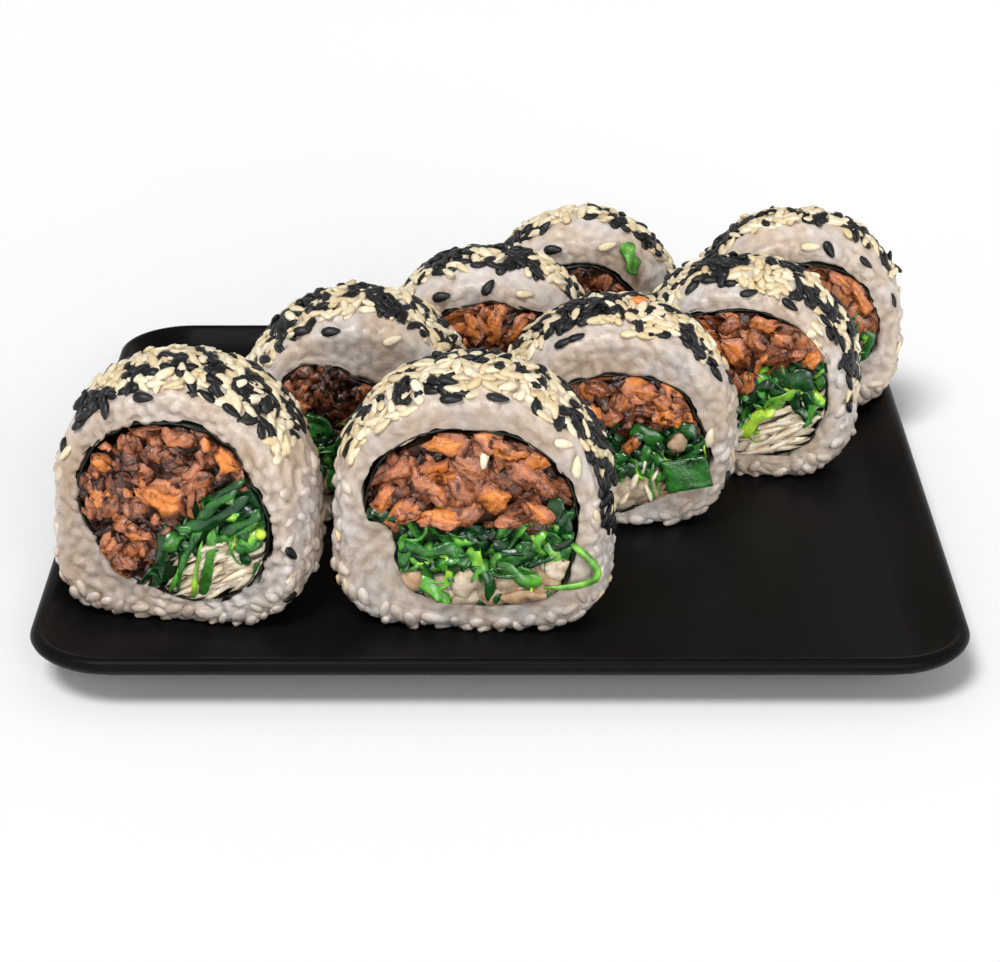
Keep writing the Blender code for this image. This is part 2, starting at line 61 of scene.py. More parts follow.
# The rolls, as in the solids. Besides, "rim" says how far the rice reaches into the hollow at
# the front face: (degrees round it, millimetres)
GAP = 0.0003
BULGE = 0.0015
BULGE_UP = 0.3
TOP_POWER = 2.15
HOLLOW_POWER = 2.7
ROLLS = {
    "a1": {
        "at": (-0.0530, -0.0513),
        "turn": -10,
        "size": (0.0416, 0.0210, 0.0425),
        "base_power": 4.2,
        "hollow": (0.0006, 0.0194, 0.0161, 0.0156),
        "rim": (
            (0, 0.4), (26, 1.8), (50, 0.2), (140, -0.8), (180, 0.0), (205, 2.2), (235, 2.8),
            (262, 1.6), (280, 0.2),
        ),
        "salmon_to": (
            (-1.0, -1.0), (-0.30, -1.0), (-0.20, -0.45), (0.10, 0.05), (0.35, 0.33), (1.0, 0.38)
        ),
        "cheese_to": ((-1.0, -1.0), (-0.05, -0.90), (0.10, -0.45), (0.50, -0.25), (1.0, -0.35)),
        "seed": 11,
    },
    "a2": {
        "at": (-0.0243, -0.0125),
        "turn": 2,
        "size": (0.0400, 0.0200, 0.0396),
        "base_power": 3.2,
        "hollow": (-0.0010, 0.0180, 0.0145, 0.0136),
        "rim": ((0, 2.0), (60, 5.5), (90, 4.2), (105, 1.5), (125, -1.0), (160, -0.4), (200, 0.5)),
        "salmon_to": ((-1.0, -0.15), (0.0, -0.05), (1.0, -0.20)),
        "cheese_to": ((-1.0, -0.60), (0.2, -0.45), (1.0, -0.60)),
        "seed": 12,
    },
    "a3": {
        "at": (-0.0022, 0.0106),
        "turn": -2,
        "size": (0.0400, 0.0185, 0.0393),
        "base_power": 3.2,
        "hollow": (0.0004, 0.0193, 0.0150, 0.0140),
        "rim": ((90, 0.2), (130, 0.6), (150, 1.4), (175, 1.2), (210, 0.3)),
        "salmon_to": ((-1.0, -0.10), (0.1, -0.20), (1.0, 0.05)),
        "cheese_to": ((-1.0, -0.50), (0.0, -0.60), (1.0, -0.45)),
        "seed": 13,
    },
    "a4": {
        "at": (0.0160, 0.0445),
        "turn": 2,
        "size": (0.0364, 0.0175, 0.0358),
        "base_power": 3.2,
        "hollow": (-0.0004, 0.0166, 0.0130, 0.0124),
        "rim": ((0, 1.2), (45, 2.2), (90, 0.9), (135, 1.4), (180, 0.6)),
        "salmon_to": ((-1.0, 0.0), (0.0, -0.15), (1.0, -0.05)),
        "cheese_to": ((-1.0, -0.55), (0.0, -0.50), (1.0, -0.60)),
        "seed": 14,
    },
    "b1": {
        "at": (-0.0050, -0.0548),
        "turn": -4,
        "size": (0.0440, 0.0210, 0.0431),
        "base_power": 4.2,
        "hollow": (0.0002, 0.0200, 0.0174, 0.0154),
        "rim": (
            (0, 0.0), (90, -0.3), (118, -0.6), (178, 0.3), (190, 4.4), (204, 5.0), (220, 3.4),
            (240, 0.8), (300, 0.0), (315, -0.8), (330, 0.2),
        ),
        "salmon_to": (
            (-1.0, 0.15), (-0.60, -0.05), (-0.10, -0.08), (0.60, -0.06), (0.80, 0.30), (1.0, 0.35)
        ),
        "cheese_to": ((-1.0, -0.75), (-0.40, -0.70), (0.10, -0.62), (0.50, -0.50), (1.0, -0.45)),
        "seed": 15,
    },
    "b2": {
        "at": (0.0204, -0.0146),
        "turn": 1,
        "size": (0.0408, 0.0195, 0.0388),
        "base_power": 3.2,
        "hollow": (0.0000, 0.0161, 0.0164, 0.0133),
        "rim": (
            (0, 0.8), (26, 2.0), (50, 0.4), (270, 0.3), (295, 2.6), (308, 3.2), (325, 1.4),
            (340, 0.0),
        ),
        "salmon_to": ((-1.0, 0.10), (0.10, 0.15), (0.60, 0.25), (1.0, 0.30)),
        "cheese_to": ((-1.0, -0.50), (0.20, -0.50), (1.0, -0.55)),
        "seed": 16,
    },
    "b3": {
        "at": (0.0423, 0.0086),
        "turn": -11,
        "size": (0.0404, 0.0190, 0.0381),
        "base_power": 3.8,
        "hollow": (0.0000, 0.0184, 0.0160, 0.0138),
        "rim": ((0, -0.7), (30, -1.2), (60, -0.6), (90, 0.0), (270, 0.0), (300, -0.8), (330, -1.0)),
        "salmon_to": ((-1.0, 0.0), (0.0, -0.05), (0.35, 0.25), (1.0, 0.42)),
        "cheese_to": ((-1.0, -0.70), (0.05, -0.62), (0.40, -0.30), (1.0, -0.15)),
        "seed": 17,
    },
    "b4": {
        "at": (0.0562, 0.0354),
        "turn": 2,
        "size": (0.0396, 0.0180, 0.0384),
        "base_power": 2.7,
        "hollow": (0.0000, 0.0180, 0.0150, 0.0134),
        "rim": ((0, -0.2), (200, 0.0), (260, 3.0), (290, 4.6), (315, 4.2), (335, 1.2)),
        "salmon_to": ((-1.0, 0.10), (0.5, 0.15), (0.9, -0.10), (1.0, 0.0)),
        "cheese_to": ((-1.0, -0.40), (0.4, -0.45), (1.0, -0.70)),
        "seed": 18,
    },
}

# Cooked rice
RICE_STEP = 0.0006
RICE_SUNK_TOP = 0.00275
RICE_SUNK_BASE = 0.0004
RICE_EDGE = 0.0023
GRAIN_LENGTH = 0.0046
GRAIN_WIDTH = 0.0024
GRAIN_SPACING = 0.0017
CUT_GRAIN = 0.7
GRAIN_RELIEF = 0.0012
TOP_RELIEF = 0.0006
CUT_RELIEF = {"a1": 0.00080, "a2": 0.00034, "a3": 0.00034}
USUAL_CUT_RELIEF = 0.00022
GRAIN_LIMIT = 4000
GRAIN_SHARPNESS = 9.0
LOOSE_GRAIN = (0.0036, 0.0021, 0.0019)
RICE_BOTTOM = -0.2 * MM
RIM_STEPS = 4

# Loose grains on the lower edge and side: (spacing, how deep they sink in, as a share of them)
EDGE_GRAINS = (2.1 * MM, 0.62)
SIDE_GRAINS = (3.2 * MM, 0.70)
LOOSE_LIMIT = 90

# Painted shade on the rice of a cut face, darker towards one side: (by how much, towards which x
# and z, from how far along)
FACE_PAINTED_SHADE = {"a1": (0.5, (-1.0, 0.0), 0.0), "b1": (0.3, (0.0, 1.0), 20 * MM)}
SHADE_REACH = 16 * MM

# Sesame
SEED_SIZE = {"black": (0.0036, 0.0020, 0.0011), "pale": (0.0036, 0.0018, 0.0010)}
SEED_SPACING = 0.00138
SEED_LIMIT = 620
SECOND_LAYER = 110
BACK_STRAYS = 9
SIDE_STRAYS = 16

# The seeds' dark and light colour, roughness and shine
SEED_FINISH = {
    "black": ((0.004, 0.004, 0.005), (0.016, 0.016, 0.018), 0.42, 0.40),
    "pale": ((0.78, 0.62, 0.37), (0.96, 0.88, 0.67), 0.40, 0.45),
}

# The highest that a seed reaches above the table
SEED_TOP = 0.0483

# How low the seeds reach on the left and on the right of a roll, from 1 at the top to -1
SEED_REACH = {
    "a1": (0.55, 0.35),
    "b1": (0.30, 0.00),
    "b2": (0.40, 0.50),
    "b3": (0.30, -0.10),
    "b4": (0.30, 0.35),
}
USUAL_REACH = (0.25, 0.20)

# How far behind the front face the seeds start, in millimetres
SEED_START = {
    "a1": 2.2, "a2": 3.4, "a3": 4.4, "a4": 5.0, "b1": 3.0, "b2": 3.2, "b3": 3.0, "b4": 5.0,
}

# Single seeds on the cut faces: (x, z in millimetres, turn in degrees, kind)
FACE_SEEDS = {
    "a1": ((-3.3, 39.2, -5, "black"), (-10.4, 36.4, -65, "black"), (10.2, 38.2, -60, "black")),
    "a2": ((-5.0, 36.0, 0, "black"), (6.0, 34.8, 20, "pale")),
    "a3": ((0.5, 35.6, 60, "black"), (-8.6, 33.6, 10, "black"), (6.5, 35.0, 0, "pale")),
    "a4": ((4.5, 31.5, 20, "pale"), (-6.5, 31.0, 0, "black")),
    "b1": (
        (-2.4, 40.6, -5, "black"), (4.6, 41.2, 0, "black"), (10.9, 40.0, 70, "black"),
        (14.1, 36.8, 42, "black"), (19.0, 34.4, -15, "black"), (19.4, 31.6, 30, "black"),
        (12.0, 38.0, -50, "pale"), (15.4, 33.8, 0, "pale"), (17.3, 29.8, 80, "pale"),
        (20.6, 21.0, -50, "pale"), (-9.6, 38.8, 20, "pale"), (-13.6, 36.2, 35, "pale"),
    ),
    "b2": (
        (1.2, 36.4, 10, "pale"), (4.0, 36.2, -10, "pale"), (-9.4, 35.0, 15, "black"),
        (-7.0, 36.2, 30, "black"), (15.1, 17.0, 80, "pale"), (16.8, 29.0, -60, "black"),
    ),
    "b3": ((1.9, 35.6, 40, "black"), (9.0, 33.6, -50, "black"), (14.6, 29.6, -50, "pale")),
    "b4": ((5.0, 34.6, -70, "black"), (12.0, 31.5, -40, "black"), (1.0, 35.0, 0, "pale")),
}

# What can be told apart in the cut faces, in millimetres of the roll's own frame. Flakes and
# lumps are (middle, length, width, turn in degrees, tone), bands are (half width, tone, path).
BIG_FLAKES = {
    "a1": (
        ((-1.2, 22.2), 9.0, 4.2, -15, 0.92), ((10.4, 30.0), 5.4, 4.4, -30, 0.98),
        ((-5.4, 15.9), 6.0, 2.8, -10, 0.80), ((-9.8, 7.4), 5.0, 2.6, -20, 0.66),
        ((1.9, 33.0), 6.0, 3.0, -10, 0.74), ((-9.5, 20.5), 5.5, 2.6, 60, 0.56),
    ),
    "a3": (
        ((1.3, 29.5), 8.0, 3.6, 75, 0.92), ((-2.4, 28.5), 7.5, 3.2, 115, 0.86),
        ((5.2, 28.0), 7.0, 3.0, 50, 0.82), ((-5.5, 26.5), 6.5, 3.0, 140, 0.90),
    ),
    "b1": (
        ((-3.5, 33.2), 7.4, 3.0, 5, 0.96), ((-6.3, 26.4), 9.2, 3.8, -52, 0.78),
        ((-13.6, 23.6), 6.0, 2.8, 62, 0.86), ((-11.2, 28.4), 6.0, 3.0, 35, 0.60),
        ((0.6, 29.6), 7.0, 4.0, -30, 0.64), ((-1.3, 25.4), 6.4, 4.6, -60, 0.58),
        ((4.3, 24.2), 6.0, 4.8, 10, 0.92), ((-4.6, 20.6), 7.4, 4.2, 0, 0.90),
        ((-9.8, 20.8), 5.2, 2.6, 10, 0.80), ((8.7, 29.0), 8.0, 3.6, -30, 0.68),
        ((11.8, 27.0), 6.0, 3.0, -45, 0.60), ((6.2, 32.6), 6.0, 2.8, -18, 0.88),
        ((10.9, 22.4), 8.2, 3.0, -40, 0.82), ((6.5, 20.2), 5.4, 2.6, 10, 0.74),
    ),
    "b2": (
        ((0.8, 24.3), 5.2, 2.6, 70, 0.74), ((3.9, 26.2), 6.2, 2.6, -5, 0.82),
        ((6.9, 24.6), 5.2, 2.5, -35, 0.78), ((3.9, 22.9), 4.6, 2.2, -10, 0.60),
        ((8.5, 21.3), 5.8, 3.7, -25, 1.00), ((12.6, 21.2), 3.4, 2.2, -40, 0.95),
        ((2.3, 16.7), 5.2, 2.2, 60, 0.86), ((-3.8, 26.6), 5.0, 3.0, -20, 0.62),
        ((-1.2, 21.6), 4.4, 3.2, 20, 0.66),
    ),
    "b3": (
        ((0.2, 24.4), 7.8, 4.4, -46, 0.84), ((5.1, 30.0), 6.6, 3.0, -5, 0.86),
        ((8.0, 27.8), 5.4, 3.2, -30, 0.72), ((13.6, 24.2), 4.6, 3.2, 30, 0.96),
        ((3.4, 26.9), 5.2, 3.0, -60, 0.74), ((-1.3, 29.4), 5.2, 2.8, 20, 0.62),
        ((2.5, 19.0), 4.8, 2.5, 75, 0.84), ((10.6, 24.6), 5.0, 2.2, 15, 0.62),
    ),
    "b4": (
        ((11.5, 24.0), 6.5, 2.8, -60, 0.90), ((7.5, 28.0), 6.5, 3.0, -40, 0.80),
    ),
}
BIG_LUMPS = {
    "b1": (
        ((-0.6, 9.2), 5.6, 4.6, 60, 0.70), ((9.6, 7.0), 9.0, 2.6, 0, 0.18),
        ((14.6, 11.9), 4.2, 3.0, 40, 0.78), ((-9.5, 9.2), 4.6, 3.4, 0, 0.22),
        ((2.6, 30.9), 3.4, 1.5, 80, 0.98),
    ),
    "b2": (
        ((9.8, 16.6), 4.2, 3.2, 75, 0.24), ((10.0, 5.0), 8.0, 3.0, 5, 0.35),
        ((2.8, 9.6), 3.8, 1.0, 68, 0.95), ((5.3, 7.4), 3.4, 0.9, 108, 0.90),
        ((1.2, 6.4), 3.0, 0.9, 55, 0.90), ((4.4, 12.2), 2.8, 0.8, 80, 0.95),
        ((6.3, 10.6), 2.4, 0.8, 60, 0.90),
    ),
}
TOP_CRUMB = ("b2", (3.9, 8.5, 39.3), (3.2, 2.4, 1.2), 0.97)
BAND_POINTS = 22
BANDS = {
    "a1": (
        (1.3, 0.20, ((-0.9, 17.6), (-1.8, 11.6), (-2.9, 6.2))),
        (0.8, 0.50, ((5.9, 20.0), (3.6, 14.6), (1.6, 10.4), (0.8, 5.6))),
        (0.9, 0.66, ((7.3, 17.6), (6.4, 11.6), (4.7, 4.8))),
        (0.4, 0.85, ((5.3, 15.2), (4.2, 9.2), (3.6, 4.6))),
        (0.4, 0.78, ((2.4, 13.0), (1.0, 9.0), (-0.6, 5.6))),
        (0.9, 0.25, ((15.2, 13.0), (14.0, 9.4), (12.4, 6.2))),
        (1.0, 0.28, ((13.2, 23.8), (8.1, 19.6), (1.3, 17.0))),
        (0.9, 0.50, ((11.5, 25.2), (8.1, 22.5), (4.7, 18.9))),
        (0.9, 0.38, ((15.6, 21.6), (12.0, 18.9), (8.2, 16.6))),
        (0.7, 0.62, ((14.6, 19.4), (10.6, 16.8), (6.0, 15.0))),
        (0.6, 0.30, ((12.8, 26.6), (9.4, 24.6), (6.6, 22.2))),
        (0.8, 0.50, ((15.2, 16.6), (13.2, 14.8), (10.4, 15.0))),
    ),
    "b1": (
        (1.0, 0.45, ((-10.2, 16.3), (-7.0, 14.5), (-3.0, 15.4), (0.2, 12.8))),
        (1.3, 0.78, ((0.2, 15.4), (1.5, 12.8), (1.0, 9.2))),
        (1.4, 0.70, ((-8.1, 10.4), (-4.7, 7.4), (-2.8, 5.6))),
        (1.2, 0.55, ((3.4, 15.4), (6.6, 13.6), (9.8, 15.4), (13.0, 14.5))),
        (1.2, 0.72, ((4.6, 13.8), (9.0, 10.1), (12.2, 10.6))),
        (1.0, 0.80, ((11.2, 16.8), (13.6, 15.3), (15.0, 12.6))),
        (1.4, 0.25, ((13.2, 24.6), (14.9, 21.4), (15.4, 17.8))),
        (0.6, 0.92, ((-4.6, 14.5), (-3.0, 11.9), (-3.9, 7.4))),
        (0.9, 0.30, ((0.2, 12.8), (3.4, 10.1), (3.4, 5.6))),
        (0.3, 0.94, ((-6.5, 12.6), (-1.5, 11.4), (3.0, 12.4))),
    ),
    "b2": (
        (0.3, 0.85, ((3.8, 14.9), (5.3, 10.2), (4.8, 5.4))),
        (0.3, 0.60, ((6.4, 13.9), (5.6, 9.2), (7.1, 4.5))),
        (0.3, 0.80, ((2.0, 13.6), (3.6, 9.0), (2.6, 5.4))),
        (1.4, 0.50, ((2.0, 19.0), (5.0, 18.4), (7.4, 15.4))),
        (0.7, 0.97, ((15.0, 16.6), (15.8, 13.4), (15.4, 10.4))),
    ),
    "b3": (
        (1.9, 0.22, ((6.2, 19.4), (10.4, 20.6), (14.6, 19.2))),
        (1.0, 0.14, ((6.6, 19.2), (4.4, 17.8), (1.7, 13.8))),
        (1.5, 0.84, ((12.8, 17.6), (8.9, 16.4), (5.4, 13.3))),
        (1.4, 0.95, ((7.3, 15.0), (3.8, 12.0), (0.8, 8.0))),
        (0.9, 0.60, ((14.2, 16.6), (13.6, 13.4), (12.0, 11.0))),
        (1.2, 0.24, ((-9.0, 15.0), (-4.0, 14.0), (0.5, 15.5))),
    ),
    "b4": ((1.3, 0.40, ((12.6, 18.8), (13.2, 15.2), (11.0, 12.0))),),
}

# Single greens. Depths are (share of the way along, y).
STRAND_ROLL = "b1"
STRAND_POINTS = 30
STRAND_DEPTHS = ((0, -0.2), (0.15, -1.3), (0.7, -1.5), (1, -2.3))
STRAND = (
    0.65, 0.80,
    ((14.8, 17.6), (17.6, 15.8), (20.2, 13.2), (20.7, 11.2), (18.9, 9.9), (15.6, 9.3), (12.2, 9.3)),
)
SHRED_ROLL = "a4"
SHRED_POINTS = 14
SHRED_DEPTHS = ((0, -0.3), (0.5, -0.9), (1, -0.5))
SHRED = (1.5, 0.74, ((7.6, 32.4), (8.8, 29.2), (10.0, 26.2)))
LEAF_ROLL = "b2"
LEAF_POINTS = 12
LEAF_TONE = 0.47
LEAF_MIDDLE = (11.9, 11.2)
LEAF_ACROSS = (3.9, 0.6)
LEAF_UP = (-0.7, 2.7)
BEAD_ROLL = "a1"
BEAD = ((15.4, 17.9), 0.95)

# The fillings. Faces are (pieces, scale, crumbs) of salmon and (strands, leaves) of salad.
CORE_DEPTH = 0.0005
FILLING_PROUD = 2.4 * MM
SALMON_TONES = (0.22, 0.42, 0.60, 0.76, 0.94)
SALMON_SHARES = (0.16, 0.27, 0.30, 0.17, 0.10)
SALMON_SHIFT = {"a1": -0.05, "a2": -0.24, "a4": -0.2}
SMALL_FLAKES = (52, 0.72, 54)
SALMON_FRONT = {"a1": SMALL_FLAKES, "a2": SMALL_FLAKES, "a4": SMALL_FLAKES}
USUAL_SALMON = (30, 1.0, 24)
SALMON_BACK = (24, 0.9, 16)
HANGING_ROLL = "a1"
SALAD_FRONT = {HANGING_ROLL: (12, 14)}
USUAL_SALAD = (50, 44)
SALAD_BACK = (36, 20)
SALAD_DRAPE = {"b1": 0.22, "b2": 0.10}
USUAL_DRAPE = 0.04
EDGE_NAMES = ("salmon_to", "cheese_to")

# Cheese lies in leaning layers or in lumps: (count, spacing, how loosely it turns, tone)
CHEESE_SLANT = {"a1": 0.55, "b2": 0.1, "b3": 0.38}
LAYERED_ROLLS = ("a1", "b3")
CHEESE_LAYERS = (42, 1.1 * MM, 0.14, 0.92)
CHEESE_LUMPS = (22, 1.9 * MM, 0.6, 0.46)

# The seaweed sheet
SHEET_POINTS = 150
SHEET_DEPTHS = (0.0, 0.25, 0.5, 0.75, 1.0)

# Places of the colour sockets on a Mix node
MIX_FIRST = 6
MIX_SECOND = 7
MIX_RESULT = 2

# Studio
FLOOR_REACH = 4.0
FLOOR_CORNERS = ((-1, -1), (1, -1), (1, 1), (-1, 1))
SENSOR_WIDTH = 36.0
WORLD_STOPS = [(0.12, (0.95, 0.95, 0.95)), (0.42, (0.30, 0.30, 0.30))]
SUNS = (
    ("key_light", (-0.30, -0.50, 1.00), 2.0, 22),
    ("fill_light", (0.35, -0.95, 0.30), 1.4, 36),
)
CAMERA_PLACE = (0.0, -0.4864, 0.2192)
CAMERA_DIP = 23.57
CAMERA_LENS = 106.75


# Shapes as arrays: a shape is (points, faces, tone), where tone is a number for each point that
# the materials read.


def lumps(points, size, seed):
    """Smooth random values from -1 to 1 at the points, in lumps about as wide as size."""
    table = np.random.default_rng(seed).uniform(-1, 1, (16, 16, 16))
    spot = np.asarray(points) / size + 100
    low = np.floor(spot).astype(int)
    part = spot - low
    part = part * part * (3 - 2 * part)
    value = 0
    for corner in itertools.product((0, 1), repeat=3):
        weight = np.where(corner, part, 1 - part).prod(-1)
        index = (low + corner) % 16
        value = value + weight * table[index[..., 0], index[..., 1], index[..., 2]]
    return value


def unit(vectors):
    vectors = np.asarray(vectors, float)
    return vectors / np.maximum(np.linalg.norm(vectors, axis=-1, keepdims=True), 1e-12)


def grid_faces(rows, columns, loop_rows, loop_columns, first=0):
    """Quads over a grid of points that may close on itself either way."""
    r = np.arange(rows if loop_rows else rows - 1)
    c = np.arange(columns if loop_columns else columns - 1)
    r, c = (a.ravel() for a in np.meshgrid(r, c, indexing="ij"))
    r2, c2 = (r + 1) % rows, (c + 1) % columns
    return first + np.stack(
        [r * columns + c, r * columns + c2, r2 * columns + c2, r2 * columns + c], axis=1
    )


def join(shapes):
    """One shape from many."""
    points, faces, tones = [], [], []
    first = 0
    for shape_points, shape_faces, shape_tone in shapes:
        points.append(shape_points)
        tones.append(np.broadcast_to(shape_tone, len(shape_points)))
        rows = shape_faces if isinstance(shape_faces, list) else shape_faces.tolist()
        faces.extend([index + first for index in row] for row in rows)
        first += len(shape_points)
    return np.concatenate(points), faces, np.concatenate(tones)


def piece(name, shape, materials, material_index=None):
    """An object of this shape that rides on the part."""
    points, faces, tone = shape
    mesh = bpy.data.meshes.new(name)
    mesh.from_pydata(points.tolist(), [], faces if isinstance(faces, list) else faces.tolist())
    attribute = mesh.attributes.new("tone", "FLOAT", "POINT")
    attribute.data.foreach_set("value", np.ascontiguousarray(tone, dtype=np.float32))
    for one in materials:
        mesh.materials.append(one)
    if material_index is not None:
        mesh.polygons.foreach_set("material_index", np.asarray(material_index, dtype=np.int32))
    mesh.shade_smooth()
    mesh.validate()
    mesh.update()
    obj = bpy.data.objects.new(name, mesh)
    bpy.context.scene.collection.objects.link(obj)
    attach(obj, "root")
    return obj


def placed(roll, points):
    """Points of a roll's own frame, moved to where the roll stands."""
    turn = math.radians(roll["turn"])
    x, y, z = np.asarray(points).T
    return np.stack(
        [
            roll["at"][0] + x * math.cos(turn) - y * math.sin(turn),
            roll["at"][1] + x * math.sin(turn) + y * math.cos(turn),
            z + PLATE_FLOOR + GAP,
        ],
        axis=1,
    )


def unplaced(roll, points):
    """Points of the plate's frame in the roll's own frame."""
    turn = math.radians(roll["turn"])
    x, y, z = points.T
    x, y = x - roll["at"][0], y - roll["at"][1]
    return np.stack(
        [
            x * math.cos(turn) + y * math.sin(turn),
            y * math.cos(turn) - x * math.sin(turn),
            z - PLATE_FLOOR - GAP,
        ],
        axis=1,
    )


# Materials


def new_material(name, layers, finish, bumps=()):
    """A material whose colour is the product of ramps: layers are (noise, stops), where a noise
    is what noise_node takes, or None for the tone of the points. Bumps are (noise, strength,
    distance)."""
    made = bpy.data.materials.new(name)
    made.use_nodes = True
    tree = made.node_tree
    shader = shader_of(made)
    colours = []
    for noise, stops in layers:
        source = noise_node(tree, *noise) if noise else tone_node(tree)
        colours.append(ramp_node(tree, source.outputs["Fac"], stops))
    tree.links.new(multiplied(tree, colours), shader.inputs["Base Color"])
    set_finish(shader, *finish)
    for noise, strength, distance in bumps:
        bump_from(tree, shader, noise_node(tree, *noise).outputs["Fac"], strength, distance)
    return made


def shader_of(material):
    return material.node_tree.nodes["Principled BSDF"]


def noise_node(tree, scale, detail=2.0, roughness=0.5, distortion=0.0):
    """A noise texture on the object's own coordinates; scale counts its lumps in a metre."""
    coordinates = tree.nodes.new("ShaderNodeTexCoord")
    noise = tree.nodes.new("ShaderNodeTexNoise")
    noise.inputs["Scale"].default_value = scale
    noise.inputs["Detail"].default_value = detail
    noise.inputs["Roughness"].default_value = roughness
    noise.inputs["Distortion"].default_value = distortion
    tree.links.new(coordinates.outputs["Object"], noise.inputs["Vector"])
    return noise


def cells_node(tree, scale, bend):
    """A texture of soft cells that are bent out of shape by a noise."""
    coordinates = tree.nodes.new("ShaderNodeTexCoord")
    noise = noise_node(tree, scale * 0.8)
    shift = tree.nodes.new("ShaderNodeVectorMath")
    shift.operation = "MULTIPLY_ADD"
    tree.links.new(noise.outputs["Color"], shift.inputs[0])
    shift.inputs[1].default_value = (bend / scale,) * 3
    tree.links.new(coordinates.outputs["Object"], shift.inputs[2])
    cells = tree.nodes.new("ShaderNodeTexVoronoi")
    cells.feature = "SMOOTH_F1"
    cells.inputs["Scale"].default_value = scale
    tree.links.new(shift.outputs["Vector"], cells.inputs["Vector"])
    return cells


def ramp_node(tree, source, stops):
    """A colour ramp over a value: stops are (position, colour)."""
    ramp = tree.nodes.new("ShaderNodeValToRGB")
    elements = ramp.color_ramp.elements
    while len(elements) < len(stops):
        elements.new(0.5)
    for element, (position, colour) in zip(elements, stops):
        element.position = position
        element.color = (*colour, 1.0)
    tree.links.new(source, ramp.inputs["Fac"])
    return ramp.outputs["Color"]


def multiplied(tree, colours):
    """The product of some colours."""
    result = colours[0]
    for colour in colours[1:]:
        mix = tree.nodes.new("ShaderNodeMix")
        mix.data_type = "RGBA"
        mix.blend_type = "MULTIPLY"
        mix.inputs["Factor"].default_value = 1.0
        tree.links.new(result, mix.inputs[MIX_FIRST])
        tree.links.new(colour, mix.inputs[MIX_SECOND])
        result = mix.outputs[MIX_RESULT]
    return result


def tone_node(tree):
    node = tree.nodes.new("ShaderNodeAttribute")
    node.attribute_name = "tone"
    return node


def bump_from(tree, shader, height, strength, distance, invert=False):
    """Adds a bump to a shader, on top of any bump that it has."""
    bump = tree.nodes.new("ShaderNodeBump")
    bump.invert = invert
    bump.inputs["Strength"].default_value = strength
    bump.inputs["Distance"].default_value = distance
    tree.links.new(height, bump.inputs["Height"])
    for link in shader.inputs["Normal"].links:
        tree.links.new(link.from_socket, bump.inputs["Normal"])
    tree.links.new(bump.outputs["Normal"], shader.inputs["Normal"])


def set_finish(shader, roughness, specular, subsurface=0.0, radius=(1.0, 0.6, 0.4), depth=0.001):
    shader.inputs["Roughness"].default_value = roughness
    shader.inputs["Specular IOR Level"].default_value = specular
    shader.inputs["Subsurface Weight"].default_value = subsurface
    shader.inputs["Subsurface Radius"].default_value = radius
    shader.inputs["Subsurface Scale"].default_value = depth


def rice_material():
    tint = [(0.36, (0.55, 0.44, 0.34)), (0.50, (0.57, 0.49, 0.42)), (0.64, (0.58, 0.53, 0.495))]
    # The ramp over the tone is painted light and shade: the rice darker between its grains, lighter
    # low down and on the outside of a roll.
    hollow = [(0.0, (0.76, 0.71, 0.67)), (0.40, (0.96, 0.95, 0.94)), (1.0, (1.36, 1.38, 1.42))]
    mottle = [(0.30, (0.84, 0.81, 0.78)), (0.62, (1.0, 1.0, 1.0))]
    made = new_material(
        "cooked_rice",
        (((110, 3.0), tint), (None, hollow), ((620, 3.0, 0.6), mottle)),
        (0.33, 0.45, 0.22, (1.0, 0.75, 0.55), 0.0010),
    )
    tree, shader = made.node_tree, shader_of(made)
    grains = cells_node(tree, 520, 0.8)
    bump_from(tree, shader, grains.outputs["Distance"], 0.16, 0.0004, invert=True)
    bump_from(tree, shader, noise_node(tree, 1400).outputs["Fac"], 0.4, 0.0003)
    return made


def seed_material(name, dark, light, roughness, specular):
    mottle = [(0.3, (0.80, 0.77, 0.72)), (0.7, (1.0, 1.0, 1.0))]
    return new_material(
        name,
        ((None, [(0.0, dark), (1.0, light)]), ((900,), mottle)),
        (roughness, specular),
        (((2600,), 0.3, 0.00012),),
    )


def salmon_material():
    flesh = [
        (0.00, (0.020, 0.006, 0.003)),
        (0.28, (0.115, 0.032, 0.012)),
        (0.55, (0.300, 0.100, 0.042)),
        (0.78, (0.490, 0.175, 0.080)),
        (1.00, (0.700, 0.225, 0.036)),
    ]
    mottle = [(0.36, (0.20, 0.13, 0.10)), (0.46, (0.86, 0.82, 0.78)), (0.70, (1.40, 1.46, 1.52))]
    return new_material(
        "cooked_salmon",
        ((None, flesh), ((380, 4.0, 0.66, 0.9), mottle)),
        (0.24, 0.65, 0.12, (1.0, 0.35, 0.15), 0.0009),
        (((520, 3.0, 0.6, 1.8), 0.4, 0.0008), ((1500, 2.0, 0.6, 1.0), 0.4, 0.0003)),
    )


def painted_shade_material(name, colour, specular=0.15):
    """Painted shade: the solid behind a filling's loose pieces, painted dark for the shaded depth
    between them.
    """
    low = tuple(0.4 * channel for channel in colour)
    noise = (500, 3.0)
    stops = [(0.35, low), (0.7, colour)]
    return new_material(name, ((noise, stops),), (0.55, specular), ((noise, 0.8, 0.0008),))


def salad_material():
    leaf = [
        (0.00, (0.003, 0.018, 0.005)),
        (0.30, (0.008, 0.060, 0.012)),
        (0.55, (0.028, 0.160, 0.022)),
        (0.78, (0.105, 0.360, 0.040)),
        (1.00, (0.420, 0.640, 0.050)),
    ]
    mottle = [(0.34, (0.32, 0.40, 0.34)), (0.50, (1.0, 1.0, 1.0)), (0.68, (2.0, 1.8, 1.5))]
    made = new_material(
        "seaweed_salad",
        ((None, leaf), ((360, 3.0, 0.6), mottle)),
        (0.24, 0.50),
        (((600, 3.0), 0.5, 0.0005),),
    )
    shader_of(made).inputs["Coat Weight"].default_value = 0.3
    shader_of(made).inputs["Coat Roughness"].default_value = 0.12
    return made


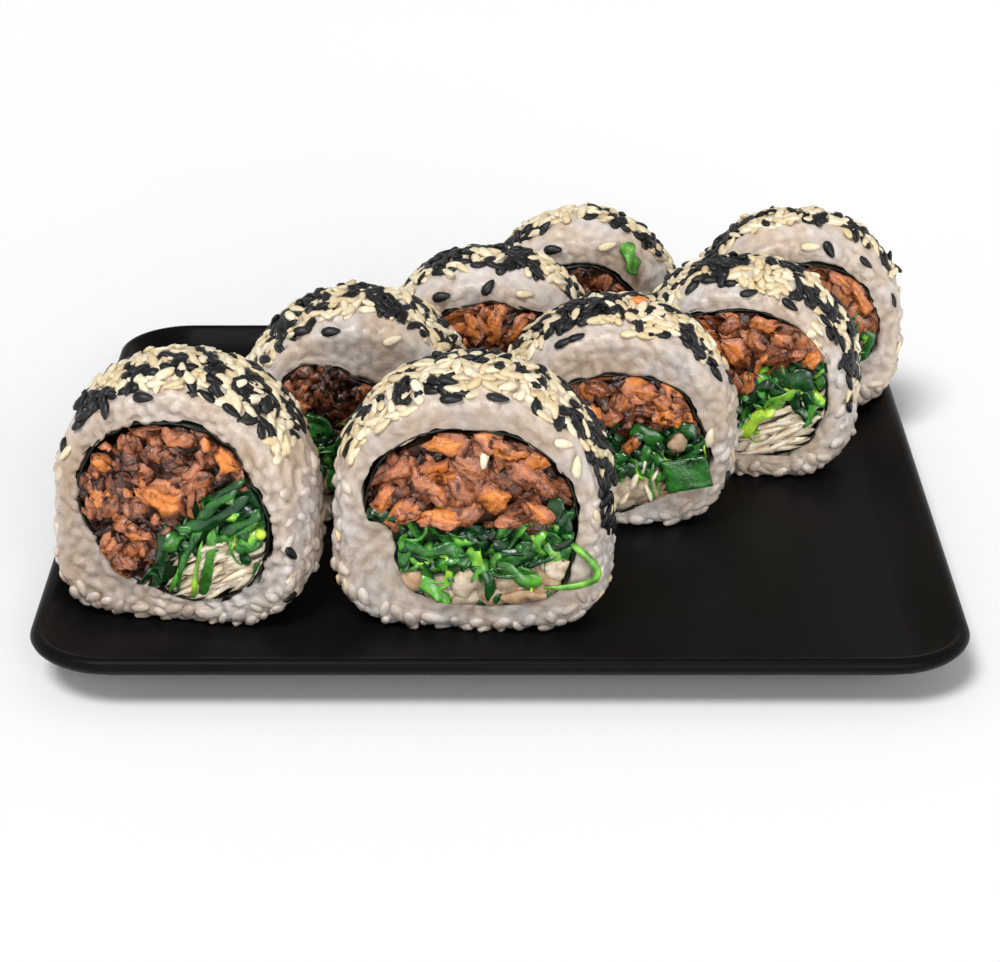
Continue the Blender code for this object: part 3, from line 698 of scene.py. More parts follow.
def cheese_material():
    tint = [
        (0.0, (0.20, 0.14, 0.10)),
        (0.2, (0.50, 0.33, 0.19)),
        (0.45, (0.44, 0.36, 0.27)),
        (1.0, (0.95, 0.84, 0.66)),
    ]
    mottle = [(0.30, (0.70, 0.62, 0.50)), (0.62, (1.08, 1.06, 1.03))]
    return new_material(
        "cream_cheese",
        ((None, tint), ((420, 3.0), mottle)),
        (0.40, 0.40, 0.25, (1.0, 0.8, 0.55), 0.001),
        (((800, 3.0), 0.6, 0.0005),),
    )


def sheet_material():
    noise = (700, 3.0)
    tint = [(0.35, (0.003, 0.004, 0.002)), (0.7, (0.016, 0.017, 0.009))]
    return new_material(
        "seaweed_sheet", ((noise, tint),), (0.42, 0.35), ((noise, 0.8, 0.0005),)
    )


def plate_material():
    noise = (60, 4.0, 0.6)
    tint = [(0.3, (0.0042, 0.0041, 0.0041)), (0.7, (0.0060, 0.0058, 0.0058))]
    made = new_material(
        "plate_black", ((noise, tint),), (0.36, 0.05), (((1800,), 0.06, 0.0001),)
    )
    tree = made.node_tree
    rough = tree.nodes.new("ShaderNodeMapRange")
    rough.inputs["To Min"].default_value = 0.32
    rough.inputs["To Max"].default_value = 0.42
    tree.links.new(noise_node(tree, *noise).outputs["Fac"], rough.inputs["Value"])
    tree.links.new(rough.outputs["Result"], shader_of(made).inputs["Roughness"])
    return made


def floor_material():
    tint = [(0.3, (0.97, 0.97, 0.97)), (0.7, (0.99, 0.99, 0.99))]
    return new_material("studio_floor", (((3,), tint),), (0.9, 0.1))


# The plate


def rounded_square(side, corner, height):
    """Points round a square with rounded corners, centred on the origin."""
    straight = side / 2 - corner
    points = []
    for quarter in range(4):
        middle = math.pi / 4 + quarter * math.pi / 2
        centre_x = math.copysign(straight, math.cos(middle))
        centre_y = math.copysign(straight, math.sin(middle))
        for step in range(CORNER_STEPS + 1):
            angle = (quarter + step / CORNER_STEPS) * math.pi / 2
            points.append(
                (centre_x + corner * math.cos(angle), centre_y + corner * math.sin(angle), height)
            )
    return points


def plate_profile():
    """(inset from the plate's edge, height) from the foot's edge, over the lip, to the floor."""
    lip_middle = PLATE_RIM_HEIGHT - RIM_LIP
    profile = [
        (FOOT_INSET + 0.0004, 0.0),
        (FOOT_INSET, 0.0),
        (FOOT_INSET - 0.0006, 0.0003),
        (FOOT_INSET * 0.45, lip_middle * 0.36),
        (RIM_LIP * 0.8, lip_middle - RIM_LIP * 1.1),
        (RIM_LIP * 0.25, lip_middle - RIM_LIP * 0.55),
    ]
    for angle in range(0, 136, 15):
        across = RIM_LIP * (1 - math.cos(math.radians(angle)))
        profile.append((across, lip_middle + RIM_LIP * math.sin(math.radians(angle))))
    slope_top = profile[-1]
    for step in range(1, SLOPE_STEPS + 1):
        share = step / SLOPE_STEPS
        drop = 1 - (1 - share) ** 2
        profile.append(
            (slope_top[0] + share * RIM_SLOPE, slope_top[1] + drop * (PLATE_FLOOR - slope_top[1]))
        )
    profile.append((profile[-1][0] + 0.003, PLATE_FLOOR))
    return profile


def make_plate():
    rings = []
    for inset, height in plate_profile():
        corner = max(PLATE_CORNER - inset, FOOT_CORNER)
        rings.append(rounded_square(PLATE_SIDE - 2 * inset, corner, height))
    rings = np.array(rings)
    rows, columns = rings.shape[:2]
    faces = grid_faces(rows, columns, False, True).tolist()
    faces.append(list(range(columns))[::-1])
    faces.append([(rows - 1) * columns + i for i in range(columns)])
    shape = (rings.reshape(-1, 3), faces, np.zeros(rows * columns))
    plate = piece("dark_plate", shape, [plate_material()])
    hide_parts("plate")


# Building blocks


def turned(first, second, angle):
    """Two axes that stand square on each other, both turned in their plane by an angle."""
    cos, sin = np.cos(angle)[..., None], np.sin(angle)[..., None]
    return first * cos + second * sin, second * cos - first * sin


def tangents(normal, turn):
    """Two axes across a normal, the first turned by an angle."""
    helper = np.where(np.abs(normal[..., 1:2]) < 0.9, [[0.0, 1.0, 0.0]], [[1.0, 0.0, 0.0]])
    first = unit(np.cross(normal, helper))
    return turned(first, np.cross(normal, first), turn)


def spread(points, spacing, rng, limit, allowed=None):
    """Indices of randomly chosen points that keep their distance from each other."""
    order = rng.permutation(len(points))
    if allowed is not None:
        order = order[allowed[order]]
    taken = {}
    chosen = []
    keys = np.floor(points / spacing).astype(int)
    around = list(itertools.product((-1, 0, 1), repeat=3))
    for i in order:
        a, b, c = keys[i]
        near = (
            j for da, db, dc in around for j in taken.get((a + da, b + db, c + dc), ())
        )
        if any(np.sum((points[i] - points[j]) ** 2) < spacing**2 for j in near):
            continue
        taken.setdefault((a, b, c), []).append(i)
        chosen.append(i)
        if len(chosen) >= limit:
            break
    return np.array(chosen)


def ellipsoid(rings, around):
    """A closed unit ball as points and faces, its poles on x."""
    points = [(-1.0, 0.0, 0.0)]
    for i in range(1, rings + 1):
        turn = math.pi * i / (rings + 1)
        for k in range(around):
            angle = 2 * math.pi * k / around
            ring = math.sin(turn)
            points.append((-math.cos(turn), ring * math.cos(angle), ring * math.sin(angle)))
    points.append((1.0, 0.0, 0.0))
    faces = []
    last = len(points) - 1
    for k in range(around):
        j = (k + 1) % around
        faces.append((0, 1 + j, 1 + k))
        faces.append((last, last - around + k, last - around + j))
        for i in range(rings - 1):
            a = 1 + i * around
            faces.append((a + k, a + j, a + around + j))
            faces.append((a + k, a + around + j, a + around + k))
    return np.array(points), np.array(faces)


GRAIN = ellipsoid(4, 7)
PEBBLE = ellipsoid(5, 8)
BALL = ellipsoid(9, 14)


def sesame():
    """A sesame seed of unit length, width and height, pointed at +x."""
    points, faces = ellipsoid(4, 6)
    points = points / 2
    taper = 1 - 0.60 * (points[:, 0] + 0.1)
    points[:, 1] *= np.clip(taper, 0.4, 1.15)
    points[:, 2] *= np.clip(taper, 0.5, 1.1)
    return points, faces


SESAME = sesame()


def slab(top, bottom):
    """A closed thin shape between two grids of points that share their outline's places."""
    rows, columns = top.shape[:2]
    size = rows * columns
    upper = grid_faces(rows, columns, False, False)
    under = grid_faces(rows, columns, False, False, first=size)[:, ::-1]
    border = np.array(
        list(range(columns))
        + [r * columns + columns - 1 for r in range(1, rows)]
        + [(rows - 1) * columns + c for c in range(columns - 2, -1, -1)]
        + [r * columns for r in range(rows - 2, 0, -1)]
    )
    ahead = np.roll(border, -1)
    rim = np.stack([border, border + size, ahead + size, ahead], axis=1)
    points = np.concatenate([top.reshape(-1, 3), bottom.reshape(-1, 3)])
    return points, np.concatenate([upper, under, rim])


def flake(rng, length, width, height, curl, rows=6, columns=5, ridge=0.24):
    """A petal of flesh with a thin outline and ridges along it, length on x and height on z.
    Returns its points, faces and the painted light and shade of each point: lighter on its dome and
    ridges, darker underneath."""
    s, t = np.meshgrid(np.linspace(-1, 1, rows), np.linspace(-1, 1, columns), indexing="ij")
    fullness = (1 - np.abs(s) ** 2.6) ** 0.6
    x = s * length / 2 + rng.normal(0, 0.03 * length, s.shape)
    phase = np.where(t > 0, *rng.uniform(0, 6, 2))
    y = t * fullness * (1 + 0.35 * rng.uniform(-1, 1) * s) * width / 2
    y *= 1 + 0.26 * np.sin(4.2 * s + phase)
    y += 0.16 * width * rng.uniform(-1, 1) * s**2 + rng.normal(0, 0.04 * width, s.shape)
    dome = np.clip(1 - t**2, 0, 1) ** 0.7 * fullness
    ridges = ridge * np.cos(t * math.pi * 2.2 + 0.8 * s + rng.uniform(0, 6)) * dome
    bend = curl * s**2 + 0.4 * rng.uniform(-1, 1) * t * np.abs(s)
    top = height * (0.6 * dome + ridges + bend + rng.normal(0, 0.07, s.shape))
    bottom = height * (-0.4 * dome + bend)
    points, faces = slab(np.stack([x, y, top], axis=-1), np.stack([x, y, bottom - 1e-5], axis=-1))
    # Painted light and shade: the dome and ridges lighter, the underside darker.
    light = 0.34 * dome - 0.22 + 0.45 * ridges
    painted_shading = np.concatenate([light.ravel(), np.full(light.size, -0.4)])
    return points, faces, painted_shading


def lump(rng, length, width, height, rough=0.28, ball=PEBBLE):
    """A soft uneven lump, and the painted light and shade of its points: lighter where it bulges,
    darker in its dents.
    """
    points, faces = ball
    seed = int(rng.integers(1, 1000))
    points = points * np.array([length, width, height]) / 2
    uneven = lumps(points + 0.01, 1.6 * MM, seed)
    shift = rough * min(width, height) * uneven[:, None] * unit(points)
    # Painted light and shade: lighter where the lump bulges out, darker in its dents.
    return points + shift, faces, 0.25 * uneven


def ribbon(path, half_width, half_height, twist, sides=6, ruffle=0.0):
    """A flat strand along a path, its ends drawn in. Twist is (at the start, along it)."""
    path = np.asarray(path)
    along = unit(np.gradient(path, axis=0))
    side = unit(np.cross(along, [[0.0, 1.0, 0.0]]))
    out = np.cross(side, along)
    share = np.linspace(0, 1, len(path))
    taper = np.clip(np.minimum(share, 1 - share) * 5, 0.2, 1) ** 0.6
    wide = half_width * taper * (1 + 0.5 * ruffle * np.sin(11 * share + twist[0]))
    turns = twist[0] + twist[1] * share
    rings = []
    for k in range(sides):
        angle = 2 * math.pi * k / sides
        a, b = wide * math.cos(angle), half_height * taper * math.sin(angle)
        b = b + ruffle * half_width * 0.5 * math.cos(angle) * np.sin(15 * share + 2 * twist[0])
        across = a * np.cos(turns) - b * np.sin(turns)
        up = a * np.sin(turns) + b * np.cos(turns)
        rings.append(path + side * across[:, None] + out * up[:, None])
    points = np.stack(rings, axis=1).reshape(-1, 3)
    body = grid_faces(len(path), sides, False, True)[:, ::-1]
    ends = []
    start, end = len(points), len(points) + 1
    last = (len(path) - 1) * sides
    for k in range(sides):
        j = (k + 1) % sides
        ends.append((start, k, j))
        ends.append((end, last + j, last + k))
    points = np.concatenate([points, path[:1], path[-1:]])
    return points, body.tolist() + ends


def smooth_path(points, count):
    """A smooth curve through points, as many points as asked."""
    points = np.asarray(points, float)
    spots = np.linspace(0, len(points) - 1, count)
    padded = np.concatenate([points[:1], points, points[-1:]])
    low = np.minimum(spots.astype(int), len(points) - 2)
    t = (spots - low)[:, None]
    p0, p1, p2, p3 = (padded[low + k] for k in range(4))
    square = (2 * p0 - 5 * p1 + 4 * p2 - p3) * t**2
    cube = (3 * p1 - p0 - 3 * p2 + p3) * t**3
    return 0.5 * (2 * p1 + (p2 - p0) * t + square + cube)


# The rice


def oval(angle, half_width, half_height, lower_power):
    """Points of the rolls' cross-section: near round above, squarer below."""
    power = np.where(np.sin(angle) > 0, TOP_POWER, lower_power)
    across = np.sign(np.cos(angle)) * np.abs(np.cos(angle)) ** (2 / power)
    up = np.sign(np.sin(angle)) * np.abs(np.sin(angle)) ** (2 / power)
    return across * half_width, up * half_height


def even_angles(roll, count):
    """Angles that part the rice's outline into even lengths."""
    fine = np.linspace(0, 2 * np.pi, 4001)
    x, z = oval(fine, roll["size"][0] / 2, roll["size"][2] / 2, roll["base_power"])
    walked = np.concatenate([[0], np.cumsum(np.hypot(np.diff(x), np.diff(z)))])
    return np.interp(np.linspace(0, walked[-1], count, endpoint=False), walked, fine)


def sleeve_profile(roll):
    """Rows of the rice sleeve as (share of the way out from the hollow, inset, y, kind), from
    the hollow's front edge round the outside to its back edge. Kind is 0 on a cut face, 1 on the
    outside and between them on the rounded edge."""
    thickness = roll["size"][1]
    face_steps = 12
    edge_steps = 6
    side_steps = round((thickness - 2 * RICE_EDGE) / RICE_STEP)
    front = [(i / face_steps, RICE_EDGE, 0.0, 0.0) for i in range(face_steps)]
    for i in range(edge_steps):
        turn = math.pi / 2 * i / edge_steps
        inset = RICE_EDGE * (1 - math.sin(turn))
        front.append((1.0, inset, RICE_EDGE * (1 - math.cos(turn)), i / edge_steps))
    side = []
    for i in range(side_steps + 1):
        share = i / side_steps
        y = RICE_EDGE + share * (thickness - 2 * RICE_EDGE)
        side.append((1.0, -BULGE * math.sin(math.pi * share) ** 0.8, y, 1.0))
    back = [(out, inset, thickness - y, kind) for out, inset, y, kind in reversed(front)]
    inner = [
        (0.0, RICE_EDGE, thickness * (1 - i / RIM_STEPS), 0.0) for i in range(1, RIM_STEPS)
    ]
    return front + side + back + inner


def smooth_sleeve(roll):
    """The sleeve before any grain is raised: a grid of points, and for each of them its kind,
    its share of the way out and its angle round the roll."""
    width, _, height = roll["size"]
    shift, hollow_height, hollow_x, hollow_z = roll["hollow"]
    angles = even_angles(roll, round(math.pi * (width + height) / 2 / RICE_STEP))
    high = np.clip(np.sin(angles) + 0.4, 0, 1)
    sunk = RICE_SUNK_BASE + (RICE_SUNK_TOP - RICE_SUNK_BASE) * high
    rim = np.stack([np.cos(angles), np.sin(angles), 0 * angles], axis=1) * hollow_x
    ragged = lumps(rim, 2.4 * MM, roll["seed"] + 20) * 0.55 * MM
    ragged += lumps(rim, 5.0 * MM, roll["seed"] + 21) * 0.45 * MM
    rows = []
    profile = sleeve_profile(roll)
    for out, inset, y, _ in profile:
        rise = max(0.0, -inset) * BULGE_UP
        outer_x, outer_z = oval(angles, width / 2, height / 2 + rise, roll["base_power"])
        outer_x *= 1 - (inset + sunk) / (width / 2)
        outer_z *= 1 - np.maximum(inset + sunk, 0) / (height / 2)
        inner_x, inner_z = oval(angles, hollow_x + ragged, hollow_z + ragged, HOLLOW_POWER)
        size = hollow_size(roll, inner_x + shift, y, inner_z + hollow_height)
        inner_x, inner_z = inner_x * size, inner_z * size
        x = inner_x + shift + out * (outer_x - inner_x - shift)
        z = inner_z + hollow_height
        z += out * (outer_z + height / 2 + rise - z)
        rows.append(np.stack([x, np.full_like(x, y), z], axis=1))
    columns = len(angles)
    kinds = np.repeat([row[3] for row in profile], columns)
    outs = np.repeat([row[0] for row in profile], columns)
    return np.array(rows), kinds, outs, np.tile(angles, len(profile))


def hollow_size(roll, x, y, z):
    """How large the hollow is towards these points, as a share of the solid's hollow."""
    shift, middle, half_x, half_z = roll["hollow"]
    turn = np.degrees(np.arctan2((z - middle) / half_z, (x - shift) / half_x))
    reach = np.interp(turn, *zip(*roll["rim"]), period=360) * MM
    return 1 - reach / half_x * np.clip(1 - y / roll["size"][1], 0, 1)


def grid_normals(grid):
    """Outward normals of a grid that closes on itself both ways."""
    along = np.roll(grid, -1, 0) - np.roll(grid, 1, 0)
    around = np.roll(grid, -1, 1) - np.roll(grid, 1, 1)
    return unit(np.cross(along, around))


def grain_levels(points, normals, kinds, rng):
    """How high packed grains raise each point, from 0 between them to about 1."""
    centres = spread(points, GRAIN_SPACING, rng, GRAIN_LIMIT)
    long_axis, wide_axis = tangents(normals[centres], rng.uniform(0, np.pi, len(centres)))
    raised = np.zeros(len(points))
    order = np.argsort(points[:, 2])
    heights = points[order, 2]
    for k, centre in enumerate(centres):
        middle = points[centre]
        scale = CUT_GRAIN + (1 - CUT_GRAIN) * kinds[centre]
        half_length = GRAIN_LENGTH / 2 * scale * rng.uniform(0.65, 1.1)
        half_width = GRAIN_WIDTH / 2 * scale * rng.uniform(0.85, 1.1)
        low, high = np.searchsorted(heights, [middle[2] - half_length, middle[2] + half_length])
        near = order[low:high]
        off = points[near] - middle
        along = off @ long_axis[k] / half_length
        across = off @ wide_axis[k] / half_width
        out = off @ normals[centre]
        left = 1 - along**2 - across**2
        inside = (left > 0) & (np.abs(out) < 1.6 * MM)
        lift = np.sqrt(left[inside]) * rng.uniform(0.55, 1.0)
        raised[near[inside]] += np.exp(lift * GRAIN_SHARPNESS)
    return np.clip(np.log(1 + raised) / GRAIN_SHARPNESS, 0, 1.15)


def loose_grains(points, normals, rng, chosen, sunk, tone):
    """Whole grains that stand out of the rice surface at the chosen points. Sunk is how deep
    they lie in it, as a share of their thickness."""
    shapes = []
    long_axis, wide_axis = tangents(normals[chosen], rng.uniform(0, np.pi, len(chosen)))
    for k, index in enumerate(chosen):
        size = np.array(LOOSE_GRAIN) / 2 * rng.uniform(0.75, 1.15, 3)
        local = GRAIN[0] * size
        local[:, 2] += 0.15 * local[:, 0] ** 2 / size[0] * rng.uniform(-1, 1)
        axes = np.stack([long_axis[k], wide_axis[k], normals[index]])
        grain = points[index] + normals[index] * (size[2] * (1 - 2 * sunk)) + local @ axes
        grain[:, 2] = np.maximum(grain[:, 2], RICE_BOTTOM)
        shapes.append((grain, GRAIN[1], rng.uniform(*tone)))
    return shapes


def make_rice(name, material):
    """The rice of one roll. Returns what the seeds need to lie on it."""
    roll = ROLLS[name]
    rng = np.random.default_rng(roll["seed"])
    grid, kinds, outs, turn = smooth_sleeve(roll)
    rows, columns = grid.shape[:2]
    normals = grid_normals(grid).reshape(-1, 3)
    points = grid.reshape(-1, 3)
    level = grain_levels(points, normals, kinds, rng)
    high = np.clip(np.sin(turn) * 1.6, 0, 1)
    outside = GRAIN_RELIEF + (TOP_RELIEF - GRAIN_RELIEF) * high
    cut = CUT_RELIEF.get(name, USUAL_CUT_RELIEF)
    relief = cut + (outside - cut) * kinds
    wobble = lumps(points, 9 * MM, roll["seed"]) * 0.22 * MM
    wobble += lumps(points, 3.2 * MM, roll["seed"] + 1) * 0.18 * MM
    shift = (level - 0.35) * relief + wobble
    inner_wall = np.repeat(np.arange(rows) > rows - RIM_STEPS, columns)
    shift[inner_wall] = 0
    points = points + normals * shift[:, None]
    points[:, 2] = np.maximum(points[:, 2], RICE_BOTTOM)
    # Painted light and shade: the rice is painted darker between its grains, lighter towards the
    # bottom and lighter on the outside than on the cut faces, and some cut faces are painted darker
    # towards one side.
    tone = 0.65 * np.clip(level, 0, 1) + 0.4 * np.clip(1 - points[:, 2] / (16 * MM), 0, 1)
    tone += 0.3 * kinds
    if name in FACE_PAINTED_SHADE:
        shade, towards, start = FACE_PAINTED_SHADE[name]
        reach = (points[:, [0, 2]] @ towards - start) / SHADE_REACH
        tone -= shade * (1 - kinds) * np.clip(reach, 0, 1)
    shapes = [(points, grid_faces(rows, columns, True, True), np.clip(tone, 0, 1))]
    low_edge = (np.sin(turn) < -0.55) & (kinds > 0.15) & (kinds < 0.99)
    low_side = (np.sin(turn) < 0.15) & (np.sin(turn) > -0.95) & (kinds > 0.5)
    for allowed, spacing, sunk in ((low_edge, *EDGE_GRAINS), (low_side, *SIDE_GRAINS)):
        chosen = spread(points, spacing, rng, LOOSE_LIMIT, allowed)
        shapes += loose_grains(points, normals, rng, chosen, sunk, (0.5, 0.9))
    joined, faces, tone = join(shapes)
    rice = piece(f"cooked_rice_{name}", (placed(roll, joined), faces, tone), [material])
    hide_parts(f"rice_{name}")
    return {"points": points, "normals": normals, "kinds": kinds, "outs": outs, "turn": turn}


# The sesame seeds


def seed_places(name, surface, rng):
    """Where the seeds of a roll lie: indices of surface points, and the layer of each."""
    roll = ROLLS[name]
    points, kinds = surface["points"], surface["kinds"]
    high = np.sin(surface["turn"])
    to_right = np.clip(0.5 + 2 * points[:, 0] / roll["size"][0], 0, 1)
    reach = np.interp(to_right, (0, 1), SEED_REACH.get(name, USUAL_REACH))
    thick = np.clip((high - reach) / 0.45 + 0.5, 0, 1)
    ragged = lumps(points, 6 * MM, roll["seed"] + 5) * 0.35
    started = points[:, 1] > (SEED_START[name] + 5 * ragged) * MM
    covered = (thick + ragged > 0.45) & started & (kinds > 0.3)
    first = spread(points, SEED_SPACING, rng, SEED_LIMIT, covered)
    second = rng.permutation(first[high[first] > 0.1])[:SECOND_LAYER]
    on_face = (kinds < 0.10) & (surface["outs"] > 0.62) & (high > 0.45)
    back = np.flatnonzero(on_face & (surface["normals"][:, 1] > 0.8))
    low = np.flatnonzero((kinds > 0.6) & (high < 0.45) & (high > -0.75))
    strays = [rng.choice(back, BACK_STRAYS), rng.choice(low, SIDE_STRAYS)]
    places = np.concatenate([first, *strays, second])
    layer = np.zeros(len(places))
    layer[-len(second) :] = 1
    return places, layer


def seen_at(surface, x, z):
    """The index of the rice point that the camera sees behind a place in the face plane."""
    points = surface["points"]
    dip = math.radians(CAMERA_DIP)
    towards = np.array([0.0, -math.cos(dip), math.sin(dip)])
    height = points[:, 2] * math.cos(dip) + points[:, 1] * math.sin(dip)
    away = np.hypot(points[:, 0] - x, height - z * math.cos(dip))
    away[surface["normals"] @ towards < 0.15] = 1.0
    near = np.flatnonzero(away < away.min() + 0.4 * MM)
    return near[np.argmin(points[near, 1])]


def seed_on(roll, spot, along, up, size):
    """The points of a seed at a spot, its length on along and its thickness on up."""
    along = unit(along - up * (along @ up))
    axes = np.stack([along, np.cross(up, along), up])
    return placed(roll, spot + (SESAME[0] * size) @ axes)


def add_seeds(name, surface, sesame_shapes):
    """Adds the seeds of one roll to the black and the pale ones."""
    roll = ROLLS[name]
    points, normals = surface["points"], surface["normals"]
    rng = np.random.default_rng(roll["seed"] + 50)
    places, layer = seed_places(name, surface, rng)
    patches = 0.9 * lumps(points[places], 3.4 * MM, roll["seed"] + 9)
    if name == "b1":
        patches -= np.where(points[places, 1] < 4.5 * MM, 0.45, 0.12)
        patches += 0.45 * np.clip((points[places, 0] - 12 * MM) / (5 * MM), 0, 1)
    dark = patches + rng.uniform(-0.5, 0.5, len(places)) > 0.06
    long_axis, wide_axis = tangents(normals[places], rng.uniform(0, 2 * np.pi, len(places)))
    for k, index in enumerate(places):
        kind = "black" if dark[k] else "pale"
        size = np.array(SEED_SIZE[kind]) * rng.uniform(0.85, 1.12)
        lean = rng.normal(0, 0.15 + 0.13 * layer[k], 2)
        up = unit(normals[index] + lean[0] * long_axis[k] + lean[1] * wide_axis[k])
        spot = points[index] + normals[index] * (0.16 + 0.30 * layer[k]) * MM
        seed = seed_on(roll, spot, long_axis[k], up, size)
        seed[:, 2] -= max(0.0, seed[:, 2].max() - SEED_TOP)
        sesame_shapes[kind].append((seed, SESAME[1], rng.uniform(0, 1)))
    for x, z, turn, kind in FACE_SEEDS.get(name, ()):
        size = np.array(SEED_SIZE[kind]) * rng.uniform(0.95, 1.1)
        turn = math.radians(turn)
        index = seen_at(surface, x * MM, z * MM)
        along = np.array([math.cos(turn), 0.0, math.sin(turn)])
        spot = points[index] + normals[index] * 0.2 * MM
        seed = seed_on(roll, spot, along, normals[index], size)
        sesame_shapes[kind].append((seed, SESAME[1], rng.uniform(0, 1)))


# The fillings


def inside_hollow(roll, points, margin):
    """The points, pulled in where they lie outside the seaweed sheet less a margin."""
    shift, middle, half_x, half_z = roll["hollow"]
    size = hollow_size(roll, *points.T)
    x = (points[:, 0] - shift) / (half_x * size - margin)
    z = (points[:, 2] - middle) / (half_z * size - margin)
    power = np.where(z > 0, TOP_POWER, HOLLOW_POWER)
    reach = (np.abs(x) ** power + np.abs(z) ** power) ** (1 / power)
    pull = np.where(reach > 1, 1 / np.maximum(reach, 1e-9), 1.0)
    out = points.copy()
    out[:, 0] = shift + (points[:, 0] - shift) * pull
    out[:, 2] = middle + (points[:, 2] - middle) * pull
    return out


def region_spots(roll, side, above, below, count, rng, spacing, drape=0.0):
    """Random spots (x, z) of a cut face that keep apart, between two edges of the filling.
    Drape lowers the lower edge, as a share of the hollow."""
    face = 0.0 if side < 0 else roll["size"][1]
    shift, middle, half_x, half_z = roll["hollow"]
    spots = []
    for _ in range(count * 80):
        x, z = rng.uniform(-0.97, 0.97, 2)
        power = TOP_POWER if z > 0 else HOLLOW_POWER
        if abs(x) ** power + abs(z) ** power > 0.92:
            continue
        if above and z > np.interp(x, *zip(*roll[above])):
            continue
        if below and z < np.interp(x, *zip(*roll[below])) - drape:
            continue
        spot = np.array([shift + x * half_x, middle + z * half_z])
        point = np.array([[spot[0], face, spot[1]]])
        if not np.array_equal(inside_hollow(roll, point, 1.2 * MM), point):
            continue
        if all(np.hypot(*(spot - other)) > spacing for other in spots):
            spots.append(spot)
        if len(spots) >= count:
            break
    return spots


def laid(roll, side, shape, spot, depth, turn, tilt, roll_angle, tone):
    """A flake or lump laid on a cut face: depth is how far its middle stands out of it, tilt
    lifts its end and roll_angle lifts its edge."""
    points, faces, painted_shading = shape
    out = np.array([0.0, side, 0.0])
    along = np.array([math.cos(turn), 0.0, math.sin(turn)])
    across = np.cross(out, along)
    along, out = turned(along, out, tilt)
    across, out = turned(across, out, roll_angle)
    face = 0.0 if side < 0 else roll["size"][1]
    middle = np.array([spot[0], face + side * depth, spot[1]])
    points = middle + points @ np.stack([along, across, out])
    points = inside_hollow(roll, points, 0.5 * MM)
    points[:, 1] = np.clip(points[:, 1], -FILLING_PROUD, roll["size"][1] + FILLING_PROUD)
    return points, faces, np.clip(tone + painted_shading, 0, 1)


def cad_core(node, roll):
    """The points and faces of a solid of the part, drawn in behind the cut faces."""
    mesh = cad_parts[node].data
    points = np.empty(len(mesh.vertices) * 3)
    mesh.vertices.foreach_get("co", points)
    points = unplaced(roll, points.reshape(-1, 3))
    points[:, 1] = np.clip(points[:, 1], CORE_DEPTH, roll["size"][1] - CORE_DEPTH)
    points = placed(roll, inside_hollow(roll, points, 0.6 * MM))
    return points, [list(polygon.vertices) for polygon in mesh.polygons]


def filling_piece(kind, node, name, shapes, materials):
    """A filling made of loose shapes over the solid that they lie on."""
    core_points, core_faces = cad_core(f"{node}_{name}", ROLLS[name])
    points, faces, tone = join(shapes)
    count = len(core_points)
    shape = (
        np.concatenate([core_points, placed(ROLLS[name], points)]),
        core_faces + [[i + count for i in face] for face in faces],
        np.concatenate([np.zeros(count), tone]),
    )
    material_index = [1] * len(core_faces) + [0] * len(faces)
    made = piece(f"{kind}_{name}", shape, materials, material_index=material_index)
    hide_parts(f"{node}_{name}")
    return made


def salmon_tone(rng, shift):
    """How light one flake is, from brown to pale orange."""
    tone = rng.choice(SALMON_TONES, p=SALMON_SHARES)
    return float(np.clip(tone + rng.normal(0, 0.05) + shift, 0, 1))


def flake_fans(roll, rng, side, count, scale, shift):
    """Chunks of salmon, each a few flakes that lap over each other."""
    shapes = []
    for spot in region_spots(roll, side, None, "salmon_to", count, rng, 2.5 * scale * MM):
        turn = rng.uniform(0, 2 * math.pi)
        leaves = rng.integers(2, 4)
        length, width = rng.uniform(4.5, 9.0) * scale * MM, rng.uniform(2.8, 4.8) * scale * MM
        depth = rng.uniform(-0.7, 0.8) * MM
        # Painted shade: flakes that lie deeper in the face are painted darker, those standing out
        # lighter.
        tone = salmon_tone(rng, shift + 0.45 * (depth / MM - 0.2))
        roll_angle = rng.choice([-1, 1]) * rng.uniform(0.35, 0.75)
        for k in range(leaves):
            step = (k - (leaves - 1) / 2) * 0.42 * width
            place = spot + step * np.array([-math.sin(turn), math.cos(turn)])
            shape = flake(
                rng, length * rng.uniform(0.8, 1.1), width, rng.uniform(0.8, 1.4) * MM,
                rng.uniform(-0.6, 0.2),
            )
            shapes.append(
                laid(
                    roll, side, shape, place, depth, turn + rng.normal(0, 0.14),
                    rng.normal(0, 0.25), roll_angle + rng.normal(0, 0.12),
                    tone + rng.normal(0, 0.06),
                )
            )
    return shapes


def crumbs(roll, rng, side, edges, count, spacing, size, tone):
    """Small loose flakes lying any way between two edges of the filling."""
    shapes = []
    for spot in region_spots(roll, side, *edges, count, rng, spacing):
        length = rng.uniform(*size) * MM
        shape = flake(rng, length, length * rng.uniform(0.45, 0.7), 0.9 * MM, 0.1, 5, 4)
        shapes.append(
            laid(
                roll, side, shape, spot, rng.uniform(0.3, 1.2) * MM, rng.uniform(0, 6.3),
                rng.normal(0, 0.5), rng.normal(0, 0.5), tone(),
            )
        )
    return shapes


